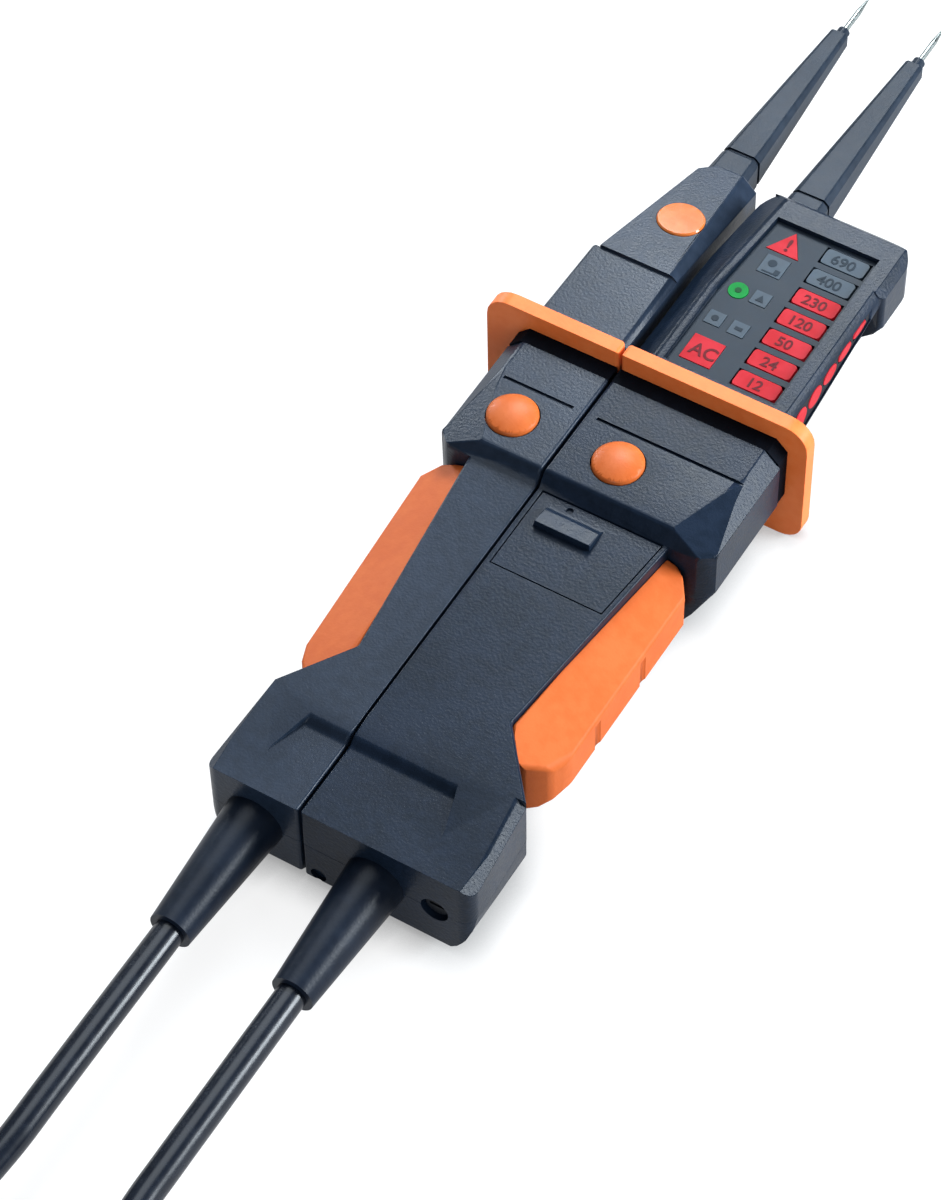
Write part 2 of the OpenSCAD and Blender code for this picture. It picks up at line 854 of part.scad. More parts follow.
module probe_badge() probe_side() color("#f4803a") {
    badge_place() translate([0, 0, -badge_sink]) {
        cylinder(h = badge_t - badge_t / 4, d = badge_d);
        translate([0, 0, badge_t - badge_t / 4]) cylinder(h = badge_t / 4, d1 = badge_d, d2 = badge_d - badge_t / 2);
    }
}

// Half of the hand guard: a plate with round corners, open at the neck
module guard_half(width, neck_w) {
    difference() {
        section(concat(
            [[gap_x, 0]], quarter(width - guard_low_r, guard_low_r, guard_low_r, guard_low_r, -90),
            quarter(width - guard_top_r, guard_h - guard_top_r, guard_top_r, guard_top_r, 0), [[gap_x, guard_h]]
        ), guard_y, head_y);
        section(neck_points(neck_w, -fit_gap), guard_y - over, head_y + over);
    }
}

module main_guard() in_frame() color("#ec7a3c") guard_half(guard_main_w, main_neck_w);
module probe_guard() probe_side() color("#ec7a3c") guard_half(guard_probe_w, probe_neck_w);

// A soft pad on the outer side of a waist, with a sloping upper face
pad_top_in = 1.2;
pad_shoulder = 20;
pad_face_low = 11;
pad_low = 8;
pad_low_in = 3.5;
pad_end_in = 5;
pad_end_cut = 2.6;
pad_foot_in = 1.6;
pad_foot_run = 4.2;
main_foot_share = 0.45;
probe_foot_share = 0.66;
pad_taper = 3.5;
dent_count = 3;
dent_first = 13;
dent_pitch = 18;
dent_w = 3;
dent_depth = 0.5;

module grip_pad(w, grip_w, foot_share, taper) {
    foot_y = waist_y - flare_len * foot_share;
    foot_w = grip_w - taper;
    difference() {
        intersection() {
            plan([
                [w[1], waist_y], [w[1] + (w[0] - w[4] - w[1]) * foot_share, foot_y],
                [foot_w - pad_foot_in, foot_y + pad_foot_run], [foot_w, foot_y + 2 * pad_foot_run],
                [grip_w, step_y - pad_end_in], [grip_w - pad_end_cut, step_y - pad_end_cut / 2],
                [w[2] + (w[3] - w[2]) / 4, step_y - slide_gap], [w[2], step_y - slide_gap]
            ], 0, waist_h);
            section([
                [0, pad_low], [grip_w - pad_low_in, pad_low], [grip_w, pad_face_low], [grip_w, pad_shoulder],
                [w[1] + pad_top_in, waist_h - pad_top_in], [0, waist_h - pad_top_in]
            ], 0, step_y);
        }
        // Shallow dents for the fingers
        for (i = [0 : dent_count - 1]) let (y = waist_y + dent_first + i * dent_pitch)
            let (side = grip_w - taper * (step_y - pad_end_in - y) / waist_len)
                translate([side + dent_w / 2 - dent_depth, y, 0])
                    cylinder(h = pad_shoulder - dent_w / 2, d = dent_w);
    }
}

module main_grip_pad() in_frame() color("#f08a50") grip_pad(main_w, main_grip_w, main_foot_share, 0);
module probe_grip_pad() probe_side() color("#f08a50")
    grip_pad(probe_w, probe_grip_w, probe_foot_share, pad_taper);

// An insulated probe sleeve, tapering, with cut corners, and the metal tip in it
sleeve_step = 8;
sleeve_groove = 0.4;
sleeve_flat_share = 0.72;

// The sleeve's section, where w is its width
module sleeve_section(w) {
    r = w / 2;
    f = r * sleeve_flat_share;
    polygon([[f, r], [r, f], [r, -f], [f, -r], [-f, -r], [-r, -f], [-r, f], [-f, r]]);
}

module sleeve(near) {
    run = sleeve_end - near;
    step_w = sleeve_root_w - (sleeve_root_w - sleeve_end_w) * (sleeve_step + groove_w) / run;
    translate([tip_pitch / 2, near, probe_h]) rotate([-90, 0, 0]) difference() {
        union() {
            linear_extrude(run, scale = sleeve_end_w / sleeve_root_w) sleeve_section(sleeve_root_w);
            translate([0, 0, -wall - root_in]) cylinder(h = wall + root_in + over, d = sleeve_neck_d);
            cylinder(h = run + collar_len, d = (sleeve_end_w + tip_d) / 2);
        }
        translate([0, 0, -wall - root_in - over]) cylinder(h = tester_len, d = tip_shank_d);
        translate([0, 0, sleeve_step]) linear_extrude(groove_w) difference() {
            square(2 * sleeve_root_w, center = true);
            sleeve_section(step_w - 2 * sleeve_groove);
        }
    }
}

module main_probe_sleeve() in_frame() color("#3a414d") sleeve(display_end);
module probe_probe_sleeve() probe_side() color("#3a414d") sleeve(head_end);

tip_cone = 5;
tip_point_share = 0.25;
tip_shank_d = 0.9;

// A metal tip: a shank in the sleeve, and a thicker bare end that stops against the collar
module tip(near) {
    root = near - wall - root_in;
    bare = tester_len - tip_bare - root;
    translate([tip_pitch / 2, root, probe_h]) rotate([-90, 0, 0]) rotate_extrude() polygon([
        [0, 0], [tip_shank_d / 2, 0], [tip_shank_d / 2, bare], [tip_d / 2, bare],
        [tip_d / 2, tester_len - tip_cone - root], [tip_d / 2 * tip_point_share, tester_len - root],
        [0, tester_len - root]
    ]);
}

module main_probe_tip() in_frame() color("#a9afae") tip(display_end);
module probe_probe_tip() probe_side() color("#a9afae") tip(head_end);

// The display panel, with a slot for each light
function bar_place(i) = last_bar_y - (bar_count - 1 - i) * bar_pitch;
function across(share) = display_x + display_w * share;
lamp_x_share = 0.343;
lamp_w_share = 0.19;
lamp_y = 7.6;
led_lamp_x_share = 0.3;
led_lamp_d_share = 0.116;
led_lamp_y = 26;
warning_x_share = 0.38;
warning_w_share = 0.2;
warning_y = 41.8;
symbol_x_shares = [0.385, 0.438, 0.288, 0.438];
symbol_w_shares = [0.142, 0.1, 0.1, 0.1];
symbol_runs = [35.6, 26.3, 16.8, 16.6];
lamp_x = across(lamp_x_share);
lamp_w = display_w * lamp_w_share;
led_lamp_x = across(led_lamp_x_share);
led_lamp_d = display_w * led_lamp_d_share;
warning_x = across(warning_x_share);
warning_w = display_w * warning_w_share;

module bar_shape(grow) {
    translate([bar_x - grow, -bar_w / 2 - grow]) square([bar_len + 2 * grow, bar_w + 2 * grow]);
}

module warning_shape(grow) {
    translate([warning_x, head_y + warning_y]) rotate(90)
        circle(d = warning_w / cos(30) + 4 * grow, $fn = 3);
}

module polarity_shape(grow) {
    translate([lamp_x, head_y + lamp_y]) square(lamp_w + 2 * grow, center = true);
}

module symbol_shapes(grow) {
    for (i = [0 : 3]) translate([across(symbol_x_shares[i]), head_y + symbol_runs[i]])
        square(display_w * symbol_w_shares[i] + 2 * grow, center = true);
}

module display_panel() in_frame() color("#45525f") {
    difference() {
        translate([0, 0, panel_low]) linear_extrude(panel_t) offset(delta = -fit_gap) window_outline();
        translate([0, 0, panel_low - over]) linear_extrude(panel_t + 2 * over) {
            for (i = [0 : bar_count - 1]) translate([0, bar_place(i)]) bar_shape(fit_gap);
            warning_shape(fit_gap);
            polarity_shape(fit_gap);
            symbol_shapes(fit_gap);
        }
        translate([led_lamp_x, head_y + led_lamp_y, panel_low - over])
            cylinder(h = panel_t + 2 * over, d = led_lamp_d + 2 * fit_gap);
    }
}

// A light guide from the board's lamps up through the panel
module light_guide() {
    translate([0, 0, light_low]) linear_extrude(panel_top + bar_rise - light_low) children();
}

module voltage_light_bars() in_frame() color("#e8404a") {
    for (i = [0 : bar_count - 1]) translate([0, bar_place(i), 0]) light_guide() bar_shape(0);
}

module warning_light() in_frame() color("#e8404a") light_guide() warning_shape(0);
module polarity_light() in_frame() color("#e8404a") light_guide() polarity_shape(0);

module continuity_light() in_frame() color("#098347") {
    translate([led_lamp_x, head_y + led_lamp_y, light_low])
        cylinder(h = panel_top + bar_rise - light_low, d = led_lamp_d);
}

module symbol_lights() in_frame() color("#6b7682") light_guide() symbol_shapes(0);

// The dark strip in the side of the display head, and the lights in it
module side_light_rooms(grow, near, far) {
    half = [0, side_light_len / 2 + grow, side_light_h / 2 + grow];
    for (i = [0 : bar_count - 3]) let (y = bar_place(i), low = side_low(y + side_light_len / 2))
        translate([0, y, (low + side_high) / 2]) block([near, 0, 0] - half, [far, 0, 0] + half);
}

module side_window() in_frame() color("#1c2029") {
    difference() {
        side_room(-fit_gap, display_right - wall + fit_gap, display_right - side_sink);
        side_light_rooms(fit_gap, display_right - wall - over, display_right + over);
    }
}

module side_lights() in_frame() color("#e8404a") {
    side_light_rooms(0, display_right - wall + fit_gap, display_right - side_sink / 2);
}

// The circuit board behind the display and under the button, and what it carries
module display_circuit_board() in_frame() color("#2f6b45") {
    left = display_x + display_chin + wall + board_in;
    right = display_right - 2 * display_chin - wall - board_in;
    far = display_end - 2 * wall - root_in - board_in;
    low_share = (display_side_low - board_h + wall) / (display_side_low - head_low);
    head_left = display_x + wall + display_chin * low_share + board_in;
    head_right = display_right - wall - 2 * display_chin * low_share - board_in;
    difference() {
        plan([
            [gap_x + wall + board_in, step_y + board_start], [main_neck_w - wall - board_in, step_y + board_start],
            [main_neck_w - wall - board_in, block_end - wall - board_in], [right, block_end - wall - board_in],
            [right, head_y + wall + board_in], [head_right, head_y + wall + board_in],
            [head_right, far], [head_left, far],
            [head_left, head_y + wall + board_in], [left, head_y + wall + board_in],
            [left, block_end - wall - board_in], [gap_x + wall + board_in, block_end - wall - board_in]
        ], board_h, board_h + board_t);
        boss_holes(main_screws);
    }
}

module display_leds() in_frame() color("#d8d4c8") {
    for (i = [0 : bar_count - 1]) for (s = [1, 3])
        translate([bar_x + s * bar_len / 4 - led_w / 2, bar_place(i) - led_w / 2, board_h + board_t])
            cube([led_w, led_w, led_h]);
    for (p = [[lamp_x, lamp_y], [led_lamp_x, led_lamp_y], [warning_x, warning_y]])
        translate([p[0] - led_w / 2, head_y + p[1] - led_w / 2, board_h + board_t]) cube([led_w, led_w, led_h]);
}

buzzer_share = 0.32;
buzzer_x_share = 0.54;
buzzer_t = 4;
buzzer_y = 20;

module buzzer() in_frame() color("#1b1b1e") {
    translate([across(buzzer_x_share), head_y + buzzer_y, board_h - buzzer_t]) difference() {
        cylinder(h = buzzer_t, d = display_w * buzzer_share);
        translate([0, 0, -over]) cylinder(h = over + groove_w, d = tip_d);
    }
}

module probe_circuit_board() probe_side() color("#2f6b45") {
    difference() {
        block(
            [gap_x + wall + board_in, step_y + board_start, board_h],
            [probe_neck_w - wall - board_in, block_end - wall - board_in, board_h + board_t]
        );
        boss_holes(probe_screws);
    }
}

// A push button with a domed top and a lip under the shell
button_low = block_h - wall - slide_gap - button_lip_t;
button_top = block_h + button_proud;

module push_button() {
    r = button_d / 2;
    dome_r = (r * r + button_dome * button_dome) / (2 * button_dome);
    translate([button_x, step_y + button_y, 0]) rotate_extrude() polygon(concat(
        [[0, button_low], [r + button_lip, button_low], [r + button_lip, button_low + button_lip_t],
         [r, button_low + button_lip_t]],
        [for (i = [0 : 5]) let (x = r * (1 - i / 5))
            [x, button_top - dome_r + sqrt(dome_r * dome_r - x * x)]]
    ));
}

module main_button() in_frame() color("#f58a4a") push_button();
module probe_button() probe_side() color("#f58a4a") push_button();

// The switch that a button presses
module button_switch() {
    low = board_top;
    high = button_low - button_travel - switch_gap;
    translate([button_x, step_y + button_y, 0]) {
        translate([-switch_w / 2, -switch_w / 2, low]) cube([switch_w, switch_w, (high - low) * switch_share]);
        translate([0, 0, low]) cylinder(h = high - low, d = switch_w / 2);
    }
}
switch_share = 0.7;

module main_button_switch() in_frame() color("#2a2a2e") button_switch();
module probe_button_switch() probe_side() color("#2a2a2e") button_switch();

// The battery lid with its latch tab
module battery_lid() in_frame() color("#3b4656") {
    tab_y = step_y - tab_end_in - tab_len;
    difference() {
        union() {
            plan(lid_outline(lid_land + slide_gap, slide_gap), waist_h - lid_t, waist_h);
            profile([
                [tab_y, waist_h - over], [tab_y + tab_len, waist_h - over], [tab_y + tab_len, waist_h],
                [tab_y + tab_len * tab_flat_share, waist_h + tab_h * tab_end_share], [tab_y, waist_h + tab_h]
            ], gap_x + tab_x, gap_x + tab_x + tab_w);
        }
        translate([gap_x + tab_x + tab_w / 3, tab_y + tab_len + tab_end_in / 3, waist_h - groove_depth])
            cylinder(h = 2 * groove_depth, d = dimple_d);
    }
}
tab_flat_share = 0.7;
tab_end_share = 0.6;
dimple_d = 1.6;

// Two cells side by side in their tray, with a contact at each end. The tray fills the waist's width.
cell_side_gap = 0.75;
cell_y = step_y - lid_len + lid_ledge;
tray_room = main_edge(cell_y - contact_t - tray_t) - gap_x - 2 * wall - slide_gap - cell_side_gap;
cell_d = (tray_room - 2 * tray_t - cell_gap) / 2;
cell_x = gap_x + wall + tray_t + slide_gap + cell_d / 2;
cell_z = back_h + wall + tray_t + cell_d / 2 + cell_gap / 2;

module battery_cells() in_frame() color("#8c9096") {
    for (i = [0, 1]) translate([cell_x + i * (cell_d + cell_gap), cell_y, cell_z]) rotate([-90, 0, 0]) {
        cylinder(h = cell_len - cell_nub, d = cell_d);
        cylinder(h = cell_len, d = cell_d / 3);
    }
}
cell_nub = 1;

module battery_contacts() in_frame() color("#c9b46a") {
    for (y = [cell_y - contact_t, cell_y + cell_len])
        block([cell_x - cell_d / 3, y, cell_z - cell_d / 3],
            [cell_x + cell_d + cell_gap + cell_d / 3, y + contact_t, cell_z + cell_d / 3]);
}

module battery_tray() in_frame() color("#2a3038") {
    half_w = cell_d + cell_gap / 2;
    mid = cell_x + half_w - cell_d / 2;
    low = back_h + wall;
    difference() {
        block(
            [mid - half_w - tray_t, cell_y - contact_t - tray_t, low],
            [mid + half_w + tray_t, cell_y + cell_len + contact_t + tray_t, cell_z]
        );
        block(
            [mid - half_w - cell_gap / 2, cell_y - contact_t, low + tray_t],
            [mid + half_w + cell_gap / 2, cell_y + cell_len + contact_t, cell_z + over]
        );
    }
}

// The pegs that dock the probe unit to the display unit
module docking_pegs() probe_side() color("#8b929b") {
    for (y = peg_places) translate([0, y, peg_h]) rotate([0, 90, 0]) {
        translate([0, 0, -peg_len]) cylinder(h = peg_len + gap_x + wall, d = peg_d);
        translate([0, 0, gap_x + wall]) cylinder(h = wall / 2, d = peg_d + wall);
        translate([0, 0, -peg_len - peg_d / 4]) cylinder(h = peg_d / 4, d1 = peg_d / 2, d2 = peg_d);
    }
}

module end_screw() in_frame() color("#20242b") {
    difference() {
        union() {
            along_y(end_screw_x, cord_h, end_well / 2, end_well - fit_gap, end_screw_d);
            along_y(end_screw_x, cord_h, end_well / 2, end_boss - wall - fit_gap, screw_d - 2 * fit_gap);
        }
        block([end_screw_x - end_screw_d / 3, 0, cord_h - groove_w / 2],
            [end_screw_x + end_screw_d / 3, end_well * slot_share, cord_h + groove_w / 2]);
    }
}
slot_share = 0.75;

module main_rear_screws() in_frame() color("#9aa0a6") screws(main_screws);
module probe_rear_screws() probe_side() color("#9aa0a6") screws(probe_screws);

// A strain relief: a taper outside the housing, and a neck and a flange that hold it in the end wall
module strain_relief(x) {
    translate([x, 0, cord_h]) rotate([90, 0, 0])
        cylinder(h = relief_len, d1 = relief_root_d, d2 = relief_end_d);
    along_y(x, cord_h, -over, wall + over, relief_neck_d);
    along_y(x, cord_h, wall, wall + relief_flange_t, relief_flange_d);
}

module main_strain_relief() in_frame() color("#1e2530") strain_relief(main_cord_x);
module probe_strain_relief() in_frame() color("#1e2530") strain_relief(-probe_cord_x);

// A tube through a list of points, with flat ends square to its first and last stretch
module tube(points, r, sides) {
    n = len(points);
    way = [for (i = [0 : n - 1]) unit(points[min(i + 1, n - 1)] - points[max(i - 1, 0)])];
    rings = [for (i = [0 : n - 1]) let (a = unit(cross(way[i], [0, 0, 1])), b = cross(a, way[i]))
        for (j = [0 : sides - 1]) points[i] + r * (cos(360 * j / sides) * a + sin(360 * j / sides) * b)];
    polyhedron(rings, concat(
        [[for (j = [sides - 1 : -1 : 0]) j]],
        [for (i = [0 : n - 2]) for (j = [0 : sides - 1]) let (k = (j + 1) % sides)
            [i * sides + j, i * sides + k, (i + 1) * sides + k]],
        [for (i = [0 : n - 2]) for (j = [0 : sides - 1]) let (k = (j + 1) % sides)
            [i * sides + j, (i + 1) * sides + k, (i + 1) * sides + j]],
        [[for (j = [0 : sides - 1]) (n - 1) * sides + j]]
    ));
}

module main_cord() in_frame() color("#15181e") tube(main_route, cord_r, cord_sides);
module probe_cord() in_frame() color("#15181e") tube(probe_route, cord_r, cord_sides);

// The coil: it winds inwards on the surface, climbs a layer and winds outwards again
coil_half = coil_turns / 2;
function coil_radius(t) = coil_r - coil_pitch * (t < coil_half ? t : coil_turns - t);
function coil_height(t) = cord_r + coil_pitch * smooth((t - coil_half + 0.25) * 2);
function coil_at(t) = [
    coil_centre[0] + coil_radius(t) * cos(180 + 360 * t),
    coil_centre[1] + coil_radius(t) * sin(180 + 360 * t),
    coil_height(t)
];
coil_steps = coil_turns * coil_ring_count;
coil_points = concat(
    [coil_at(0) + [0, cord_d - cord_gap, 0]],
    [for (i = [0 : coil_steps]) coil_at(i / coil_ring_count)],
    [coil_at(coil_turns) + [0, cord_d - cord_gap, 0]]
);

module cord_coil() in_frame() color("#15181e") tube(coil_points, cord_r, coil_sides);

// The least gap between turns of the coil, measured on its points
coil_gap = min([
    for (i = [0 : coil_steps - coil_ring_count / 2]) for (j = [i + coil_ring_count / 2 : coil_steps])
        norm(coil_points[i + 1] - coil_points[j + 1])
]) - cord_d;
echo(coil_gap = coil_gap);

main_front_shell();
main_rear_shell();
probe_front_shell();
probe_rear_shell();
main_guard();
probe_guard();
main_grip_pad();
probe_grip_pad();
main_probe_sleeve();
probe_probe_sleeve();
main_probe_tip();
probe_probe_tip();
display_panel();
voltage_light_bars();
warning_light();
polarity_light();
continuity_light();
symbol_lights();
side_window();
side_lights();
display_circuit_board();
display_leds();
buzzer();
main_button();
probe_button();
main_button_switch();
probe_button_switch();
probe_circuit_board();
battery_lid();
battery_cells();
battery_contacts();
battery_tray();
probe_badge();
docking_pegs();
end_screw();
main_rear_screws();
probe_rear_screws();
main_strain_relief();
probe_strain_relief();
main_cord();
probe_cord();
cord_coil();
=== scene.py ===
# %% [markdown]
# # A two-pole voltage tester
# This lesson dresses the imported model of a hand-held voltage tester for a studio picture. Two handles
# lie docked side by side. The wider one has a display, the narrower one only a probe and a button, and
# one rubber cord joins them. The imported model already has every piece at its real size, so the lesson
# adds what a photograph would show: soft edges, moulded and rubbery finishes, lit fields and numbers.

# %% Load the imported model
import json
import math

import bmesh
import bpy
import numpy as np
from mathutils import Matrix, Vector
from mathutils.bvhtree import BVHTree

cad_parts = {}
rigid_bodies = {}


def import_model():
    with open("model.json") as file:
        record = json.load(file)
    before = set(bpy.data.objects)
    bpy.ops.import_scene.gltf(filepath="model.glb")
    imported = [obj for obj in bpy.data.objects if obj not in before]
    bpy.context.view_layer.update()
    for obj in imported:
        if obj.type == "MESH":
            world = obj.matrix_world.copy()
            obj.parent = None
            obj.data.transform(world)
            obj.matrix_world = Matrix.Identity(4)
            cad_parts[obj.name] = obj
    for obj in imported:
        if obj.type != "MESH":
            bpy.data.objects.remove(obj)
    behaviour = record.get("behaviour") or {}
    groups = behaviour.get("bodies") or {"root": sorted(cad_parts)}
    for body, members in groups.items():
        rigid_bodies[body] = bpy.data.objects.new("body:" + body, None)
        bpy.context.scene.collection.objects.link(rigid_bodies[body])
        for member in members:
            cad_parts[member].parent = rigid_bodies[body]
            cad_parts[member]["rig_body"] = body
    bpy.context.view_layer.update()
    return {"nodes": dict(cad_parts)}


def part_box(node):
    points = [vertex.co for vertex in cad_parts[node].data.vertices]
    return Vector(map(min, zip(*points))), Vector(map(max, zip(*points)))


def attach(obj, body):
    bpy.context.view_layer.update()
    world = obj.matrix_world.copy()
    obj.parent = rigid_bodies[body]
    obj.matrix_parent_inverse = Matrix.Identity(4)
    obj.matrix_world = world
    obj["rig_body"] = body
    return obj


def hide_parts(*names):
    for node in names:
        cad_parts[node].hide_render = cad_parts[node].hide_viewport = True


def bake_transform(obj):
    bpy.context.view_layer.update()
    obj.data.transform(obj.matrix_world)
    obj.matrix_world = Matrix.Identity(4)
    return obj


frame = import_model()
scene = bpy.context.scene
nodes = frame["nodes"]

# %% [markdown]
# ## Places on the tester
# Sizes here are in millimetres, as on a drawing. They count from the gap between the handles (x), the
# handles' end face (y) and the surface that they lie on (z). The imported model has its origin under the
# tester's middle, so one function turns a drawing point into a point of the scene, in metres.

# %% From drawing millimetres to scene metres
MM = 0.001
HALF_GAP = 0.3
GAP_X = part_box("main_guard")[0].x / MM - HALF_GAP
END_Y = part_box("main_rear_shell")[0].y / MM


def at(x, y, z):
    """A drawing point in millimetres as a scene point in metres."""
    return Vector(((x + GAP_X) * MM, (y + END_Y) * MM, z * MM))


def span(name):
    """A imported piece's lowest and highest corner, in drawing millimetres."""
    low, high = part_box(name)
    return [Vector((p.x / MM - GAP_X, p.y / MM - END_Y, p.z / MM)) for p in (low, high)]


GUARD_LOW, GUARD_HIGH = span("main_guard")
TIP_Y = span("main_probe_tip")[1].y
print("guard at y", round(GUARD_LOW.y, 1), "to", round(GUARD_HIGH.y, 1), "and tips at y", round(TIP_Y, 1))

# %% [markdown]
# ## The camera
# The picture is taken from the cord's side, 32 degrees to the right and 53 degrees up, with a long lens
# that keeps the handles' sides nearly parallel. A camera's rotation is a matrix whose columns are its
# right, up and backward directions, so it is written down directly instead of aimed by angles.

# %% Camera
PHOTO_HEIGHT = 1200
AZIMUTH, ELEVATION, ROLL = (math.radians(a) for a in (32.21, 53.12, -1.36))
AIM = at(0, 110, 20)
OFFSET = (23.56 * MM, 32.27 * MM)
DISTANCE = 850 * MM
FOCAL_PIXELS = 4083.9

back = Vector((
    math.sin(AZIMUTH) * math.cos(ELEVATION),
    -math.cos(AZIMUTH) * math.cos(ELEVATION),
    math.sin(ELEVATION),
))
level = Vector((math.cos(AZIMUTH), math.sin(AZIMUTH), 0))
upright = back.cross(level)
right = math.cos(ROLL) * level + math.sin(ROLL) * upright
up = -math.sin(ROLL) * level + math.cos(ROLL) * upright

camera = bpy.data.objects.new("camera", bpy.data.cameras.new("camera"))
scene.collection.objects.link(camera)
camera.data.lens = FOCAL_PIXELS / PHOTO_HEIGHT * camera.data.sensor_width
camera.data.clip_start = 0.05
place = AIM - OFFSET[0] * right - OFFSET[1] * up + DISTANCE * back
camera.matrix_world = Matrix.Translation(place) @ Matrix((right, up, back)).transposed().to_4x4()
scene.camera = camera
scene.view_settings.view_transform = "Standard"
print("lens", round(camera.data.lens, 1), "mm")

# %% [markdown]
# ## Helpers for meshes
# The cord, the shade strips and the signs start from points and faces that a few lines of code work
# out. One function turns them into an object, and another bakes an object's modifiers into a plain mesh,
# because the finished piece has to be a simple mesh at the origin that rides on one of the tester's bodies.

# %% Mesh helpers


def linked(name, data):
    """A new object in the scene that shows the given data."""
    made = bpy.data.objects.new(name, data)
    scene.collection.objects.link(made)
    return made


def mesh_object(name, points, faces, smooth=True):
    """A new object from points in metres and faces as lists of point numbers."""
    data = bpy.data.meshes.new(name)
    data.from_pydata([tuple(p) for p in points], [], faces)
    data.validate()
    data.polygons.foreach_set("use_smooth", [smooth] * len(data.polygons))
    return linked(name, data)


def face_outwards(piece):
    """Turns the faces of a closed piece so that all of them look out of it."""
    mesh = bmesh.new()
    mesh.from_mesh(piece.data)
    bmesh.ops.recalc_face_normals(mesh, faces=mesh.faces)
    mesh.to_mesh(piece.data)
    mesh.free()


def baked(piece):
    """Applies a piece's modifiers, so that a plain mesh is left."""
    graph = bpy.context.evaluated_depsgraph_get()
    data = bpy.data.meshes.new_from_object(piece.evaluated_get(graph))
    piece.modifiers.clear()
    piece.data = data
    return piece


# %% [markdown]
# ## The cord
# One soft rubber cord leaves the narrow handle, runs out of the picture and comes back to the wide one.
# The picture shows two short stretches of it. The rest is laid in a neat coil just outside the picture,
# as it would be for storage. The route is a short list of points for each loose stretch and a formula
# for the coil, and one smooth curve through all of them carries a round tube.

# %% Cord: route
CORD_D = 6.4
IN_RELIEF = 4
CORD_STEP = 2.5
CURVE_PARTS = 12

PROBE_ROUTE = [
    (-10.8, -30, 13.4), (-10.8, -44, 13.4), (-10.8, -58, 13.4), (-10.8, -72, 13.3), (-11, -85, 12.9),
    (-12.8, -98, 11.7), (-17.2, -110, 9.8), (-23.2, -121, 7.6), (-29.4, -132, 5.5), (-34.8, -143, 4),
    (-37.6, -152, 3.3), (-38, -160, 3.2),
]
MAIN_ROUTE = [
    (17.2, -30, 13.4), (17.2, -44, 13.4), (17.2, -58, 13.4), (17.2, -72, 13.4), (17.4, -85, 13.3),
    (19.4, -98, 13), (24.2, -110, 12.4), (30.4, -121, 11.6), (36.8, -132, 10.9), (42.2, -143, 10.5),
    (45.2, -152, 10.4), (46, -160, 10.4),
]
COIL_CENTRE = (4, -166.4)
COIL_R = 42
COIL_PITCH = 7.2
COIL_TURNS = 4.5
COIL_STEPS = 24
CLIMB_TURNS = 0.5


def coil_point(turn):
    """A point of the coil: inwards on the surface, up a layer, and outwards again."""
    climb_start = COIL_TURNS / 2 - CLIMB_TURNS / 2
    radius = COIL_R - COIL_PITCH * min(turn, COIL_TURNS - turn)
    climb = min(1, max(0, (turn - climb_start) / CLIMB_TURNS))
    height = CORD_D / 2 + COIL_PITCH * climb * climb * (3 - 2 * climb)
    angle = math.pi + 2 * math.pi * turn
    return (COIL_CENTRE[0] + radius * math.cos(angle), COIL_CENTRE[1] + radius * math.sin(angle), height)


def smooth_line(points, step):
    """Points every step millimetres along a Catmull-Rom curve through the given points."""
    known = np.array(points, float)
    known = np.vstack([2 * known[0] - known[1], known, 2 * known[-1] - known[-2]])
    fine = []
    for a, b, c, d in zip(known, known[1:], known[2:], known[3:]):
        for t in np.linspace(0, 1, CURVE_PARTS, endpoint=False):
            fine.append(0.5 * (
                2 * b + (c - a) * t + (2 * a - 5 * b + 4 * c - d) * t**2 + (3 * b - a - 3 * c + d) * t**3
            ))
    fine = np.array(fine + [known[-2]])
    run = np.concatenate([[0], np.cumsum(np.linalg.norm(np.diff(fine, axis=0), axis=1))])
    wanted = np.linspace(0, run[-1], round(run[-1] / step) + 1)
    return np.stack([np.interp(wanted, run, fine[:, i]) for i in range(3)], axis=1), run[-1]


coil = [coil_point(i / COIL_STEPS) for i in range(round(COIL_TURNS * COIL_STEPS) + 1)]
start_in = (PROBE_ROUTE[0][0], PROBE_ROUTE[0][1] + IN_RELIEF, PROBE_ROUTE[0][2])
end_in = (MAIN_ROUTE[0][0], MAIN_ROUTE[0][1] + IN_RELIEF, MAIN_ROUTE[0][2])
route = [start_in, *PROBE_ROUTE, *coil, *reversed(MAIN_ROUTE), end_in]
line, cord_length = smooth_line(route, CORD_STEP)
print("cord", round(cord_length), "mm long")

# %% Cord: tube


def tube(name, line, radius, sides=20):
    """A round tube along a line of drawing points, closed at both ends."""
    ahead = np.gradient(line, axis=0)
    ahead /= np.linalg.norm(ahead, axis=1)[:, None]
    side = np.cross(ahead, [0, 0, 1])
    side /= np.linalg.norm(side, axis=1)[:, None]
    over = np.cross(side, ahead)
    turn = np.linspace(0, 2 * math.pi, sides, endpoint=False)
    across = np.cos(turn)[:, None] * side[:, None] + np.sin(turn)[:, None] * over[:, None]
    rings = line[:, None] + radius * across
    n = len(line)
    faces = [
        (i * sides + j, i * sides + (j + 1) % sides, (i + 1) * sides + (j + 1) % sides, (i + 1) * sides + j)
        for i in range(n - 1) for j in range(sides)
    ]
    faces += [tuple(range(sides))[::-1], tuple(range((n - 1) * sides, n * sides))]
    return mesh_object(name, [at(*p) for p in rings.reshape(-1, 3)], faces)


cord = tube("cord", line, CORD_D / 2)
face_outwards(cord)
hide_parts("main_cord", "probe_cord", "cord_coil")
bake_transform(cord)
print(len(cord.data.polygons), "faces in the cord")

# %% [markdown]
# ## Helpers for finishes
# Colours are written as the hex values that a picture editor shows and turned to linear light by one
# function. A second small function adds a shader node with its settings and its links.

# %% Shader helpers


